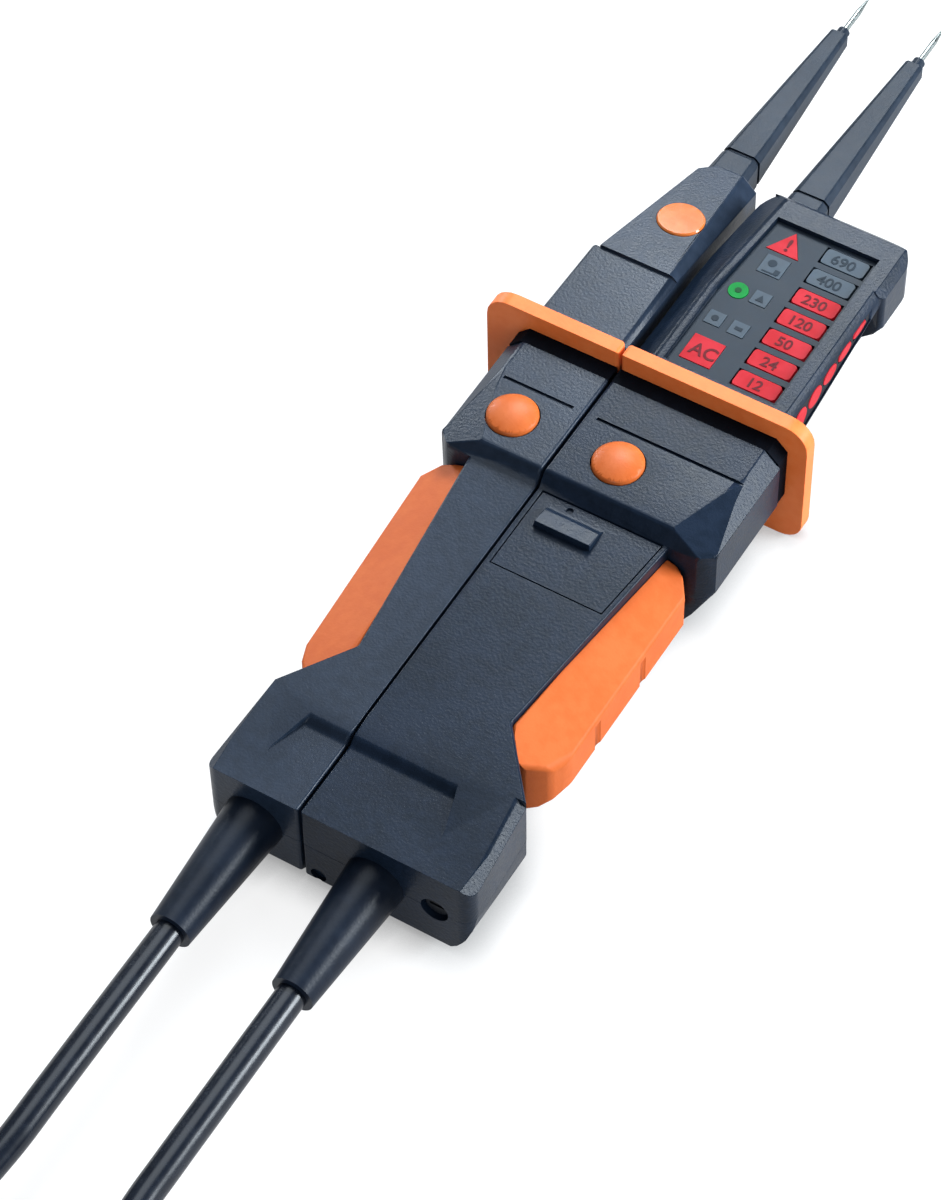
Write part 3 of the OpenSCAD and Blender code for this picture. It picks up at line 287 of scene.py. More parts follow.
def linear(code):
    """An sRGB hex colour as linear red, green, blue and alpha."""
    parts = [int(code[i:i + 2], 16) / 255 for i in (1, 3, 5)]
    return tuple(c / 12.92 if c <= 0.04045 else ((c + 0.055) / 1.055) ** 2.4 for c in parts) + (1,)


def add(tree, kind, inputs=None, **settings):
    """Adds a node, sets its properties, and gives each named input a value, a link or a list of links."""
    made = tree.nodes.new(kind)
    for key, value in settings.items():
        setattr(made, key, value)
    for key, value in (inputs or {}).items():
        if isinstance(value, bpy.types.NodeSocket):
            tree.links.new(value, made.inputs[key])
        elif isinstance(value, list):
            for one in value:
                tree.links.new(one, made.inputs[key])
        else:
            made.inputs[key].default_value = value
    return made


def new_material(name):
    """An empty material with its output, and its node tree."""
    made = bpy.data.materials.new(name)
    made.use_nodes = True
    made.node_tree.nodes.clear()
    return made, made.node_tree


def finish_with(tree, shader):
    """Links a shader to the material's output."""
    add(tree, "ShaderNodeOutputMaterial", {"Surface": shader.outputs[0]})


# %% [markdown]
# ## Moulded plastic
# The housings are ABS, moulded in a steel tool whose face was spark-eroded. That leaves a fine grain of
# about half a millimetre, which breaks up reflections so that the plastic looks satin and not shiny.
# The grain is drawn a little coarser than the real one, because a finer one wouldn't show. A slower
# mottling of a few millimetres comes from how the melt cooled, and it changes the tone and the gloss a
# little. The same function makes the orange plastic of the guard and the soft rubbers.

# %% Plastic and rubber
GRAIN_MM = 0.6
GRAIN_DEPTH_MM = 0.14
MOTTLE_MM = 2.2
MOTTLE_GLOSS = 0.02
DRIFT_MM = 16


def noise(tree, where, size_mm, detail=2.0):
    """A cloud pattern whose blobs are about size_mm across."""
    made = add(tree, "ShaderNodeTexNoise", {"Vector": where, "Scale": 1 / (size_mm * MM), "Detail": detail})
    return made.outputs[0]


def spread(tree, value, low, high, start=0.35, end=0.65):
    """Stretches the middle of a noise to the range low to high."""
    made = add(tree, "ShaderNodeMapRange", {
        "Value": value, "From Min": start, "From Max": end, "To Min": low, "To Max": high,
    })
    return made.outputs[0]


def blend_colours(tree, factor, first, second):
    """Mixes two hex colours by a factor."""
    made = add(tree, "ShaderNodeMix", {0: factor, 6: linear(first), 7: linear(second)}, data_type="RGBA")
    return made.outputs[2]


def moulded(name, low, high, roughness, relief=0.3, level=0.14, **gloss):
    """A moulded surface: two near tones, a fine grain in the relief and a slight mottling in the gloss."""
    made, tree = new_material(name)
    where = add(tree, "ShaderNodeTexCoord").outputs["Object"]
    grain = noise(tree, where, GRAIN_MM)
    mottle = noise(tree, where, MOTTLE_MM, 3.0)
    drift = noise(tree, where, DRIFT_MM)
    both = add(tree, "ShaderNodeMath", {0: drift, 1: mottle}, operation="ADD").outputs[0]
    tone = spread(tree, both, 0, 1, 0.8, 1.2)
    bump = add(tree, "ShaderNodeBump", {
        "Height": grain, "Strength": relief, "Distance": GRAIN_DEPTH_MM * MM,
    })
    body = add(tree, "ShaderNodeBsdfPrincipled", {
        "Base Color": blend_colours(tree, tone, low, high),
        "Roughness": spread(tree, mottle, roughness - MOTTLE_GLOSS, roughness + MOTTLE_GLOSS),
        "Normal": bump.outputs[0], "IOR": 1.5, "Specular IOR Level": level, **gloss,
    })
    finish_with(tree, body)
    return made


# Each finish gives its two tones, then its roughness, the depth of its grain and how much it mirrors.
abs_dark = moulded("abs_dark", "#141e2b", "#1a2535", 0.31, 0.42, 0.115)
abs_light = moulded("abs_light", "#1d2735", "#232e3e", 0.31, 0.36, 0.155)
orange_abs = moulded("orange_abs", "#f87a3c", "#fc8345", 0.4, 0.15)
orange_rubber = moulded("orange_rubber", "#cc602a", "#d26833", 0.5, 0.2, 0.12)
button_rubber = moulded("button_rubber", "#c86029", "#ce6831", 0.42, 0.12, 0.2)
cord_rubber = moulded("cord_rubber", "#0c131f", "#121a27", 0.26, 0.02, 0.45)
relief_rubber = moulded("relief_rubber", "#111926", "#17202e", 0.36, 0.2, 0.2)
# The strips behind the guards are near black to paint the shade at the guard's foot.
shade_strip_rubber = moulded("shade_strip_rubber", "#090c12", "#0d1119", 0.7, 0.2, 0.03)
sleeve_nylon = moulded("sleeve_nylon", "#1c2531", "#232d3a", 0.42, 0.25)
black_nylon = moulded("black_nylon", "#15171c", "#1d2026", 0.5)
panel_film = moulded("panel_film", "#222b35", "#26303b", 0.42, 0.05, 0.1)
print(len(bpy.data.materials), "plastics and rubbers")

# %% [markdown]
# ## Metals, lights and boards
# The tips are nickel-plated brass rod, turned to a point, and fine marks all over them soften their
# shine. The lit fields are clear red or green plastic with a lamp behind it, so a little light comes
# out of the colour itself. The badge is glossy enamelled plastic.

# %% Metals
MARKS_MM = 0.3
MARKS_GLOSS = 0.08


def metal(name, colour, roughness):
    """Turned or drawn metal, whose fine marks change the gloss a little."""
    made, tree = new_material(name)
    where = add(tree, "ShaderNodeTexCoord").outputs["Object"]
    marks = noise(tree, where, MARKS_MM, 3.0)
    body = add(tree, "ShaderNodeBsdfPrincipled", {
        "Base Color": linear(colour), "Metallic": 1.0,
        "Roughness": spread(tree, marks, roughness - MARKS_GLOSS, roughness + MARKS_GLOSS),
    })
    finish_with(tree, body)
    return made


nickel = metal("nickel_plate", "#8f9593", 0.34)
black_steel = metal("black_steel", "#3c4046", 0.42)
brass = metal("brass", "#c9a95c", 0.35)
zinc = metal("zinc_can", "#9aa0a6", 0.4)

# %% Lights, prints and boards
CLOUD_MM = 5


def lit_plastic(name, low, high, strength):
    """A clear coloured field with a lamp behind it, so the colour also gives off some light."""
    made, tree = new_material(name)
    where = add(tree, "ShaderNodeTexCoord").outputs["Object"]
    cloud = spread(tree, noise(tree, where, CLOUD_MM), 0, 1)
    tone = blend_colours(tree, cloud, low, high)
    body = add(tree, "ShaderNodeBsdfPrincipled", {
        "Base Color": tone, "Roughness": 0.4, "IOR": 1.49, "Specular IOR Level": 0.05,
        "Emission Color": tone, "Emission Strength": strength,
    })
    finish_with(tree, body)
    return made


red_lens = lit_plastic("red_lens", "#aa1822", "#b62530", 0.16)
green_lens = lit_plastic("green_lens", "#02752f", "#048539", 0.16)
field_film = moulded("field_film", "#3a4651", "#3f4c58", 0.42, 0.05, 0.11)
dark_lens = moulded("dark_lens", "#11141c", "#181b25", 0.4, 0.03, 0.05)
red_ink = moulded("red_ink", "#5a0f18", "#66131c", 0.5, 0.05, 0.1)
dark_ink = moulded("dark_ink", "#1d2731", "#24303b", 0.5, 0.05, 0.1)
green_ink = moulded("green_ink", "#03401d", "#054a22", 0.5, 0.05, 0.1)
pale_lamp = moulded("pale_lamp", "#8c939a", "#9aa1a8", 0.3, 0.05)
green_board = moulded("green_board", "#1f5a38", "#27693f", 0.35, 0.1)
enamel = moulded(
    "orange_enamel", "#c4642a", "#cc6f35", 0.12, 0.03, **{"Coat Weight": 0.6, "Coat Roughness": 0.08},
)
print(len(bpy.data.materials), "materials")

# %% [markdown]
# ## Soft edges
# No moulded piece has a knife edge: the tool's corners are rounded, so each edge of the real housing
# catches a thin line of light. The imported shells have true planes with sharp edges. Each is copied,
# its points are merged and its flat faces joined, and a Bevel modifier rounds only the outer edges. An
# edge near small detail gets a smaller round, so that the rounds never run into each other: a point
# that slides along a neighbouring edge goes further the sharper the angle between the two. The line
# where the front and the rear shell meet keeps a tight edge.

# %% Which edges are rounded, and by how much
MERGE = 1e-6
SHARP = math.radians(20)
NEARLY_FLAT = math.radians(0.5)
SMOOTH_BELOW = math.radians(32)
PART_LINE_Z = 13.4 * MM
PART_LINE_RADIUS = 0.12
ON_LINE = 1e-5
SLIDE_SHARE = 0.42
SMALL_FACE = 4 * MM**2
OFF_FACE = 0.02 * MM


def merged_mesh(node):
    """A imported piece's mesh with its doubled points merged."""
    mesh = bmesh.new()
    mesh.from_mesh(nodes[node].data)
    bmesh.ops.remove_doubles(mesh, verts=mesh.verts, dist=MERGE)
    return mesh


def outer_faces(mesh):
    """The faces that look away from the piece and not into its own hollow."""
    tree = BVHTree.FromBMesh(mesh)
    return {
        f.index for f in mesh.faces
        if tree.ray_cast(f.calc_center_median() + f.normal * OFF_FACE, f.normal)[0] is None
    }


def room_beside(edge):
    """The largest bevel width at which the edge's ends stay on the edges beside it."""
    room = 1.0
    for corner in edge.verts:
        along = (edge.other_vert(corner).co - corner.co).normalized()
        for other in corner.link_edges:
            if other is not edge:
                beside = other.other_vert(corner).co - corner.co
                room = min(room, beside.cross(along).length)
    return SLIDE_SHARE * room


def weigh_edges(mesh, radius):
    """Gives each sharp outer edge its share of the radius as a bevel weight, and counts them."""
    outer = outer_faces(mesh)
    weights = mesh.edges.layers.float.new("bevel_weight_edge")
    count = 0
    for edge in mesh.edges:
        if len(edge.link_faces) != 2 or edge.calc_face_angle(0) < SHARP:
            continue
        if not all(f.index in outer for f in edge.link_faces):
            continue
        if any(len(f.verts) == 3 and f.calc_area() < SMALL_FACE for f in edge.link_faces):
            continue
        on_line = all(abs(v.co.z - PART_LINE_Z) < ON_LINE for v in edge.verts)
        wanted = (PART_LINE_RADIUS if on_line else radius) * MM
        edge[weights] = min(wanted, room_beside(edge)) / (radius * MM)
        count += 1
    return count


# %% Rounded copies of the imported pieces


def round_off(made, radius, segments):
    """Rounds the weighted edges of a piece to a radius in millimetres."""
    bevel = made.modifiers.new("soft_edges", "BEVEL")
    bevel.limit_method = "WEIGHT"
    bevel.width = radius * MM
    bevel.segments = segments
    bevel.use_clamp_overlap = False
    bevel.loop_slide = False
    baked(made)


def rounded(node, material, radius, segments=3):
    """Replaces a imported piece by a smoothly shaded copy.

    Its outer edges are rounded to a radius in millimetres, and a radius of 0 leaves them as they are.
    """
    mesh = merged_mesh(node)
    bmesh.ops.dissolve_limit(mesh, angle_limit=NEARLY_FLAT, verts=mesh.verts, edges=mesh.edges)
    mesh.faces.ensure_lookup_table()
    mesh.faces.index_update()
    count = weigh_edges(mesh, radius) if radius else 0
    data = bpy.data.meshes.new(node + "_skin")
    mesh.to_mesh(data)
    mesh.free()
    made = linked(node + "_skin", data)
    if count:
        round_off(made, radius, segments)
    made.data.polygons.foreach_set("use_smooth", [True] * len(made.data.polygons))
    made.data.set_sharp_from_angle(angle=SMOOTH_BELOW)
    flat = made.modifiers.new("flat_faces", "WEIGHTED_NORMAL")
    flat.keep_sharp = True
    baked(made)
    made.data.materials.clear()
    made.data.materials.append(material)
    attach(made, nodes[node]["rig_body"])
    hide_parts(node)
    print(made.name, len(made.data.polygons), "faces,", count, "edges rounded")
    return made


HOUSING = {
    "main_front_shell": (abs_dark, 0.7), "main_rear_shell": (abs_dark, 0.7),
    "probe_front_shell": (abs_light, 0.7), "probe_rear_shell": (abs_light, 0.7),
    "battery_lid": (abs_dark, 0.25),
}
for node, (material, radius) in HOUSING.items():
    rounded(node, material, radius)

# %% Guard, pads, buttons and sleeves
for node in ("main_guard", "probe_guard"):
    rounded(node, orange_abs, 0.9)
for node in ("main_grip_pad", "probe_grip_pad"):
    rounded(node, orange_rubber, 1.6, segments=5)
# The faces round a button's rim are too small for a bevel, so its edges stay as they are.
for node in ("main_button", "probe_button"):
    rounded(node, button_rubber, 0)
for node in ("main_probe_sleeve", "probe_probe_sleeve"):
    rounded(node, sleeve_nylon, 0.35)

# %% [markdown]
# ## The painted shade behind the guard
# A dull black rubber strip fills the gap over each neck, between the handle's block and the guard. It is
# painted shade: it stands where the guard's shadow falls, and sets the guard off from the handle. The
# strip has the block's chamfered outline outside and the neck's inside, so its section is written down
# and drawn out along the neck.

# %% Strips of painted shade
SHADE_STRIP_START, SHADE_STRIP_END = 120.55, 124.45
SHADE_STRIP_TOP, SHADE_STRIP_FOOT, SHADE_STRIP_CHAMFER = 29.9, 13.6, 2.7
SHADE_STRIP_OUT, SHADE_STRIP_SINK, SHADE_STRIP_GAP = 2.6, 0.05, 0.1
NECK_TOP, MAIN_NECK_EDGE, PROBE_NECK_EDGE = 27.6, 37.37, 21.63


def shade_strip(name, side, neck_edge, body):
    """A strip of painted shade over a neck: side is 1 for the right unit and -1 for the left one."""
    start, edge = HALF_GAP + SHADE_STRIP_GAP, neck_edge + SHADE_STRIP_OUT
    inner, under = neck_edge - SHADE_STRIP_SINK, NECK_TOP - SHADE_STRIP_SINK
    section = [
        (start, SHADE_STRIP_TOP), (edge - SHADE_STRIP_CHAMFER, SHADE_STRIP_TOP), (edge, SHADE_STRIP_TOP - SHADE_STRIP_CHAMFER),
        (edge, SHADE_STRIP_FOOT), (inner, SHADE_STRIP_FOOT), (inner, under), (start, under),
    ]
    n = len(section)
    points = [at(side * x, y, z) for y in (SHADE_STRIP_START, SHADE_STRIP_END) for x, z in section]
    faces = [tuple(range(n)), tuple(reversed(range(n, 2 * n)))]
    faces += [(i, n + i, n + (i + 1) % n, (i + 1) % n) for i in range(n)]
    made = mesh_object(name, points, faces, smooth=False)
    face_outwards(made)
    made.data.materials.append(shade_strip_rubber)
    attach(made, body)


shade_strip("main_shade_strip", 1, MAIN_NECK_EDGE, "display_unit")
shade_strip("probe_shade_strip", -1, PROBE_NECK_EDGE, "probe_unit")
print("shade_strips", round(SHADE_STRIP_END - SHADE_STRIP_START, 1), "mm wide")

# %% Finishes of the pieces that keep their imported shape
FINISHES = {
    nickel: ("main_probe_tip", "probe_probe_tip"),
    brass: ("battery_contacts",),
    zinc: ("battery_cells",),
    panel_film: ("display_panel",),
    red_lens: ("warning_light", "polarity_light"),
    green_lens: ("continuity_light",),
    field_film: ("symbol_lights",),
    pale_lamp: ("display_leds",),
    dark_lens: ("side_window",),
    green_board: ("display_circuit_board", "probe_circuit_board"),
    # The end screw is black, which paints the shade of the deep hole that it sits in.
    black_nylon: (
        "buzzer", "main_button_switch", "probe_button_switch", "battery_tray", "docking_pegs", "end_screw",
    ),
    enamel: ("probe_badge",),
    relief_rubber: ("main_strain_relief", "probe_strain_relief"),
}
for material, names in FINISHES.items():
    for name in names:
        nodes[name].data.materials.clear()
        nodes[name].data.materials.append(material)
cord.data.materials.append(cord_rubber)

# %% [markdown]
# ## Rows of windows
# The tester shows a voltage by how many windows of a row are lit. The windows are equal and stand at an
# even step, so Geometry Nodes make them: a rounded rectangle is filled and pulled up to a plate with a
# softened rim, and one copy goes on each point of a line. The row beside the display gets smaller along
# the line, because the dark strip behind it does, so the tree also has a shrink for each step.

# %% A node tree for a row of windows
WINDOW_INPUTS = {
    "Count": "NodeSocketInt", "First": "NodeSocketVector", "Step": "NodeSocketVector",
    "Width": "NodeSocketFloat", "Height": "NodeSocketFloat", "Corner": "NodeSocketFloat",
    "Thickness": "NodeSocketFloat", "Turn": "NodeSocketVector", "Shrink": "NodeSocketVector",
    "Finish": "NodeSocketMaterial",
}
CORNER_PARTS = 5
RIM_SHARE = 0.15
RIM_SCALE = 0.94


def tree_with(name, inputs):
    """An empty node tree with named inputs, its input node, and one geometry output."""
    tree = bpy.data.node_groups.new(name, "GeometryNodeTree")
    for label, kind in inputs.items():
        tree.interface.new_socket(label, in_out="INPUT", socket_type=kind)
    tree.interface.new_socket("Made", in_out="OUTPUT", socket_type="NodeSocketGeometry")
    return tree, add(tree, "NodeGroupInput").outputs


def send_out(tree, solid, finish):
    """Gives a node tree's solid its finish and sends it out."""
    done = add(tree, "GeometryNodeSetMaterial", {"Geometry": solid.outputs[0], "Material": finish})
    add(tree, "NodeGroupOutput", {"Made": done.outputs[0]})


def window_row_tree():
    """Softened plates on the points of a line, each a little smaller than the one before."""
    tree, given = tree_with("window_row", WINDOW_INPUTS)
    line = add(tree, "GeometryNodeMeshLine", {
        "Count": given["Count"], "Start Location": given["First"], "Offset": given["Step"],
    }, mode="OFFSET")
    outline = add(tree, "GeometryNodeCurvePrimitiveQuadrilateral", {
        "Width": given["Width"], "Height": given["Height"],
    })
    soft = add(tree, "GeometryNodeFilletCurve", {
        "Curve": outline.outputs[0], "Radius": given["Corner"], "Count": CORNER_PARTS,
        "Limit Radius": True,
    }, mode="POLY")
    face = add(tree, "GeometryNodeFillCurve", {"Curve": soft.outputs[0]}, mode="NGONS")
    most = add(tree, "ShaderNodeMath", {0: given["Thickness"], 1: 1 - RIM_SHARE}, operation="MULTIPLY")
    rest = add(tree, "ShaderNodeMath", {0: given["Thickness"], 1: RIM_SHARE}, operation="MULTIPLY")
    wall = add(tree, "GeometryNodeExtrudeMesh", {
        "Mesh": face.outputs[0], "Offset Scale": most.outputs[0], "Individual": False,
    })
    rim = add(tree, "GeometryNodeExtrudeMesh", {
        "Mesh": wall.outputs["Mesh"], "Selection": wall.outputs["Top"],
        "Offset Scale": rest.outputs[0], "Individual": False,
    })
    top = add(tree, "GeometryNodeScaleElements", {
        "Geometry": rim.outputs["Mesh"], "Selection": rim.outputs["Top"], "Scale": RIM_SCALE,
    })
    under = add(tree, "GeometryNodeFlipFaces", {"Mesh": face.outputs[0]})
    plate = add(tree, "GeometryNodeJoinGeometry", {"Geometry": [top.outputs[0], under.outputs[0]]})
    closed = add(tree, "GeometryNodeMergeByDistance", {
        "Geometry": plate.outputs[0], "Distance": MERGE,
    })
    number = add(tree, "GeometryNodeInputIndex")
    less = add(tree, "ShaderNodeVectorMath", {
        0: given["Shrink"], 3: number.outputs[0],
    }, operation="SCALE")
    size = add(tree, "ShaderNodeVectorMath", {0: (1, 1, 1), 1: less.outputs[0]}, operation="SUBTRACT")
    row = add(tree, "GeometryNodeInstanceOnPoints", {
        "Points": line.outputs[0], "Instance": closed.outputs[0],
        "Rotation": given["Turn"], "Scale": size.outputs[0],
    })
    real = add(tree, "GeometryNodeRealizeInstances", {"Geometry": row.outputs[0]})
    send_out(tree, real, given["Finish"])
    return tree


def made_by(tree, name, points=(), **values):
    """Runs a node tree with its inputs set by name, and keeps what it makes as a plain mesh."""
    made = mesh_object(name, points, [])
    runs = made.modifiers.new("makes", "NODES")
    runs.node_group = tree
    for item in tree.interface.items_tree:
        if item.name in values:
            runs[item.identifier] = values[item.name]
    return baked(made)


window_row = window_row_tree()
print(len(window_row.nodes), "nodes in", window_row.name)

# %% The voltage windows
BAR_COUNT = 7
LIT_COUNT = 5
BAR_W = 4.7
BAR_CORNER = 0.9
BARS_LOW, BARS_HIGH = span("voltage_light_bars")
BAR_STEP = (BARS_HIGH.y - BARS_LOW.y - BAR_W) / (BAR_COUNT - 1)
BAR_X = (BARS_LOW.x + BARS_HIGH.x) / 2
BAR_Y = [BARS_LOW.y + BAR_W / 2 + i * BAR_STEP for i in range(BAR_COUNT)]
BAR_LEN = BARS_HIGH.x - BARS_LOW.x

WINDOW_ROWS = (
    ("lit_windows", 0, LIT_COUNT, red_lens),
    ("unlit_windows", LIT_COUNT, BAR_COUNT - LIT_COUNT, field_film),
)
for name, first, count, finish in WINDOW_ROWS:
    row = made_by(
        window_row, name, Count=count, First=at(BAR_X, BAR_Y[first], BARS_LOW.z),
        Step=(0, BAR_STEP * MM, 0), Width=BAR_LEN * MM, Height=BAR_W * MM, Corner=BAR_CORNER * MM,
        Thickness=(BARS_HIGH.z - BARS_LOW.z) * MM, Turn=(0, 0, 0), Shrink=(0, 0, 0), Finish=finish,
    )
    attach(row, "display_unit")
    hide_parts("voltage_light_bars")
print("windows every", round(BAR_STEP, 2), "mm")

# %% The lights at the side
SIDE_LOW, SIDE_HIGH = span("side_lights")
OVAL_W = 5.9
OVAL_SHARE = 0.76
STRIP_LOW_START = 22.2
STRIP_SLOPE = 7.5 / 39
STRIP_TOP = 31.5


def strip_room(y):
    """The height of the dark side strip at a place along the handle."""
    return STRIP_TOP - STRIP_LOW_START - STRIP_SLOPE * (y - GUARD_HIGH.y)


first_room = strip_room(BAR_Y[0] + OVAL_W / 2)
side_row = made_by(
    window_row, "side_ovals", Count=LIT_COUNT,
    First=at(SIDE_LOW.x, BAR_Y[0], STRIP_TOP - first_room / 2),
    Step=Vector((0, BAR_STEP, BAR_STEP * STRIP_SLOPE / 2)) * MM,
    Width=OVAL_SHARE * first_room * MM, Height=OVAL_W * MM, Corner=OVAL_W / 2 * MM,
    Thickness=(SIDE_HIGH.x - SIDE_LOW.x) * MM, Turn=(0, math.pi / 2, 0),
    Shrink=(BAR_STEP * STRIP_SLOPE / first_room, 0, 0), Finish=red_lens,
)
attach(side_row, "display_unit")
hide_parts("side_lights")
print("side lights from", round(OVAL_SHARE * first_room, 1), "mm tall")

# %% [markdown]
# ## Prints on the display
# Numbers, letters and signs are printed on the windows in a darker tone of the same colour. Blender's
# own typeface is used for them: a text becomes a thin solid mesh first, and only then its place is
# applied. The signs on the grey fields are a few flat shapes.

# %% Numbers and letters
# A capital letter's share of the type size, and half of a print's thickness.
CAP_SHARE = 0.73
INK = 0.08


def print_on(name, words, x, y, z, height, finish, wide=1.0, bold=0.0):
    """Letters of a cap height in millimetres on the display, whose foot line starts at x, y."""
    text = bpy.data.curves.new(name, "FONT")
    text.body = words
    text.size = height / CAP_SHARE * MM
    text.extrude = INK * MM
    text.offset = bold * MM
    letters = linked(name, text)
    graph = bpy.context.evaluated_depsgraph_get()
    data = bpy.data.meshes.new_from_object(letters.evaluated_get(graph))
    bpy.data.objects.remove(letters)
    data.transform(Matrix.Translation(at(x, y, z)) @ Matrix.Diagonal((wide, 1, 1, 1)))
    data.materials.clear()
    data.materials.append(finish)
    made = linked(name, data)
    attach(made, "display_unit")


NUMBERS = ("12", "24", "50", "120", "230", "400", "690")
NUMBER_HEIGHT = 2.7
NUMBER_INSET = {2: 2.9, 3: 2.2}
for number, y in zip(NUMBERS, BAR_Y):
    finish = red_ink if y < BAR_Y[LIT_COUNT] else dark_ink
    x = BARS_LOW.x + NUMBER_INSET[len(number)]
    foot = y - NUMBER_HEIGHT / 2
    print_on("number_" + number, number, x, foot, BARS_HIGH.z, NUMBER_HEIGHT, finish, bold=0.06)
AC_LOW, AC_HIGH = span("polarity_light")
print_on(
    "letters_ac", "AC", AC_LOW.x + 1.0, AC_LOW.y + 1.9, AC_HIGH.z, 3.4, red_ink, wide=0.95, bold=0.08,
)
WARN_LOW, WARN_HIGH = span("warning_light")
WARN_X = (WARN_LOW.x + WARN_HIGH.x) / 2 - 0.55
print_on("warning_mark", "!", WARN_X, WARN_LOW.y + 1.0, WARN_HIGH.z, 3.6, red_ink, wide=1.1, bold=0.08)
print(len(NUMBERS) + 2, "prints")

# %% Signs on the grey fields
SIGN_Z = span("symbol_lights")[1].z


def sign(name, outlines, finish, height=SIGN_Z):
    """Flat shapes on the display from outlines of drawing points, as thin closed plates."""
    points, faces = [], []
    for outline in outlines:
        n, base = len(outline), len(points)
        points += [at(x, y, height + h) for h in (-INK, INK) for x, y in outline]
        faces += [[base + i for i in reversed(range(n))], [base + n + i for i in range(n)]]
        faces += [(base + i, base + (i + 1) % n, base + n + (i + 1) % n, base + n + i) for i in range(n)]
    made = mesh_object(name, points, faces, smooth=False)
    made.data.materials.append(finish)
    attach(made, "display_unit")


def disc(x, y, r, sides=20):
    """The outline of a disc."""
    turns = [2 * math.pi * i / sides for i in range(sides)]
    return [(x + r * math.cos(turn), y + r * math.sin(turn)) for turn in turns]


def box(x, y, w, h):
    """The outline of a rectangle about its middle."""
    return [(x - w / 2, y - h / 2), (x + w / 2, y - h / 2), (x + w / 2, y + h / 2), (x - w / 2, y + h / 2)]


def arrow(x, y, w, h):
    """The outline of a triangle that points towards the tips."""
    return [(x - w / 2, y - h / 2), (x + w / 2, y - h / 2), (x, y + h / 2)]


sign("sign_plug", [
    disc(14.6, 164.1, 1.0), box(16.6, 162.2, 1.2, 1.2), box(15.2, 161.4, 3.6, 0.35),
], dark_ink)
sign("sign_phase", [arrow(17.2, 154.2, 1.9, 1.9)], dark_ink)
sign("sign_pole", [disc(11.5, 144.7, 0.8)], dark_ink)
sign("sign_cell", [box(17.2, 144.5, 1.7, 0.9)], dark_ink)
LAMP_LOW, LAMP_HIGH = span("continuity_light")
TONE_X, TONE_Y = (LAMP_LOW.x + LAMP_HIGH.x) / 2, (LAMP_LOW.y + LAMP_HIGH.y) / 2
sign("sign_tone", [disc(TONE_X, TONE_Y, 0.75)], green_ink, LAMP_HIGH.z)
print("signs at z", round(SIGN_Z, 1), "mm")

# %% [markdown]
# ## Screws in the back
# The shells are held together by small cross-head screws, sunk into wells in the back. Geometry Nodes
# put one screw on each point: a shank, and a flat head with two crossed slots cut out of it.

# %% Rear screws
SCREW_INPUTS = {
    "Points": "NodeSocketGeometry", "Head": "NodeSocketFloat", "Head Depth": "NodeSocketFloat",
    "Shank": "NodeSocketFloat", "Length": "NodeSocketFloat", "Slot": "NodeSocketFloat",
    "Finish": "NodeSocketMaterial",
}
HEAD_SIDES, SHANK_SIDES = 40, 24
# The boxes that cut the cross are centred on the head's outer face, so half of their depth counts.
CROSS_SHARE = 1.1
# The shank starts just inside the head, so that the two overlap.
SHANK_START = 0.98
HEAD_R, HEAD_DEPTH, HEAD_SPACE = 2.5, 1.5, 1.6
SHANK_R, SLOT_W = 1.5, 0.7


def screw_tree():
    """A cross-head screw that points up, with its head's outer face on each point."""
    tree, given = tree_with("cross_head_screws", SCREW_INPUTS)

    def scaled(socket, share):
        return add(tree, "ShaderNodeMath", {0: socket, 1: share}, operation="MULTIPLY").outputs[0]

    def up_by(socket):
        return add(tree, "ShaderNodeCombineXYZ", {"Z": socket}).outputs[0]

    def moved(solid, height):
        made = add(tree, "GeometryNodeTransform", {"Geometry": solid, "Translation": up_by(height)})
        return made.outputs[0]

    head = add(tree, "GeometryNodeMeshCylinder", {
        "Vertices": HEAD_SIDES, "Radius": given["Head"], "Depth": given["Head Depth"],
    })
    shank = add(tree, "GeometryNodeMeshCylinder", {
        "Vertices": SHANK_SIDES, "Radius": given["Shank"], "Depth": given["Length"],
    })
    long = scaled(given["Head"], CROSS_SHARE)
    deep = scaled(given["Head Depth"], CROSS_SHARE)
    one = add(tree, "ShaderNodeCombineXYZ", {"X": long, "Y": given["Slot"], "Z": deep})
    two = add(tree, "ShaderNodeCombineXYZ", {"X": given["Slot"], "Y": long, "Z": deep})
    slots = [add(tree, "GeometryNodeMeshCube", {"Size": size.outputs[0]}).outputs[0] for size in (one, two)]
    cut = add(tree, "GeometryNodeMeshBoolean", {
        "Mesh 1": moved(head.outputs[0], scaled(given["Head Depth"], 0.5)), "Mesh 2": slots,
    }, operation="DIFFERENCE", solver="EXACT")
    both = add(tree, "GeometryNodeJoinGeometry", {"Geometry": [
        cut.outputs[0],
        moved(
            moved(shank.outputs[0], scaled(given["Length"], 0.5)),
            scaled(given["Head Depth"], SHANK_START),
        ),
    ]})
    placed = add(tree, "GeometryNodeInstanceOnPoints", {
        "Points": given["Points"], "Instance": both.outputs[0],
    })
    real = add(tree, "GeometryNodeRealizeInstances", {"Geometry": placed.outputs[0]})
    send_out(tree, real, given["Finish"])
    return tree


def screw_places(node):
    """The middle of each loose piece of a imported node, at the node's lowest height."""
    mesh = merged_mesh(node)
    left, places = set(mesh.verts), []
    low = min(v.co.z for v in mesh.verts)
    while left:
        piece, edge_on = set(), [left.pop()]
        while edge_on:
            corner = edge_on.pop()
            piece.add(corner)
            for edge in corner.link_edges:
                other = edge.other_vert(corner)
                if other in left:
                    left.remove(other)
                    edge_on.append(other)
        middle = [(min(v.co[i] for v in piece) + max(v.co[i] for v in piece)) / 2 for i in (0, 1)]
        places.append(Vector((*middle, low)))
    mesh.free()
    return sorted(places, key=lambda p: p.y)


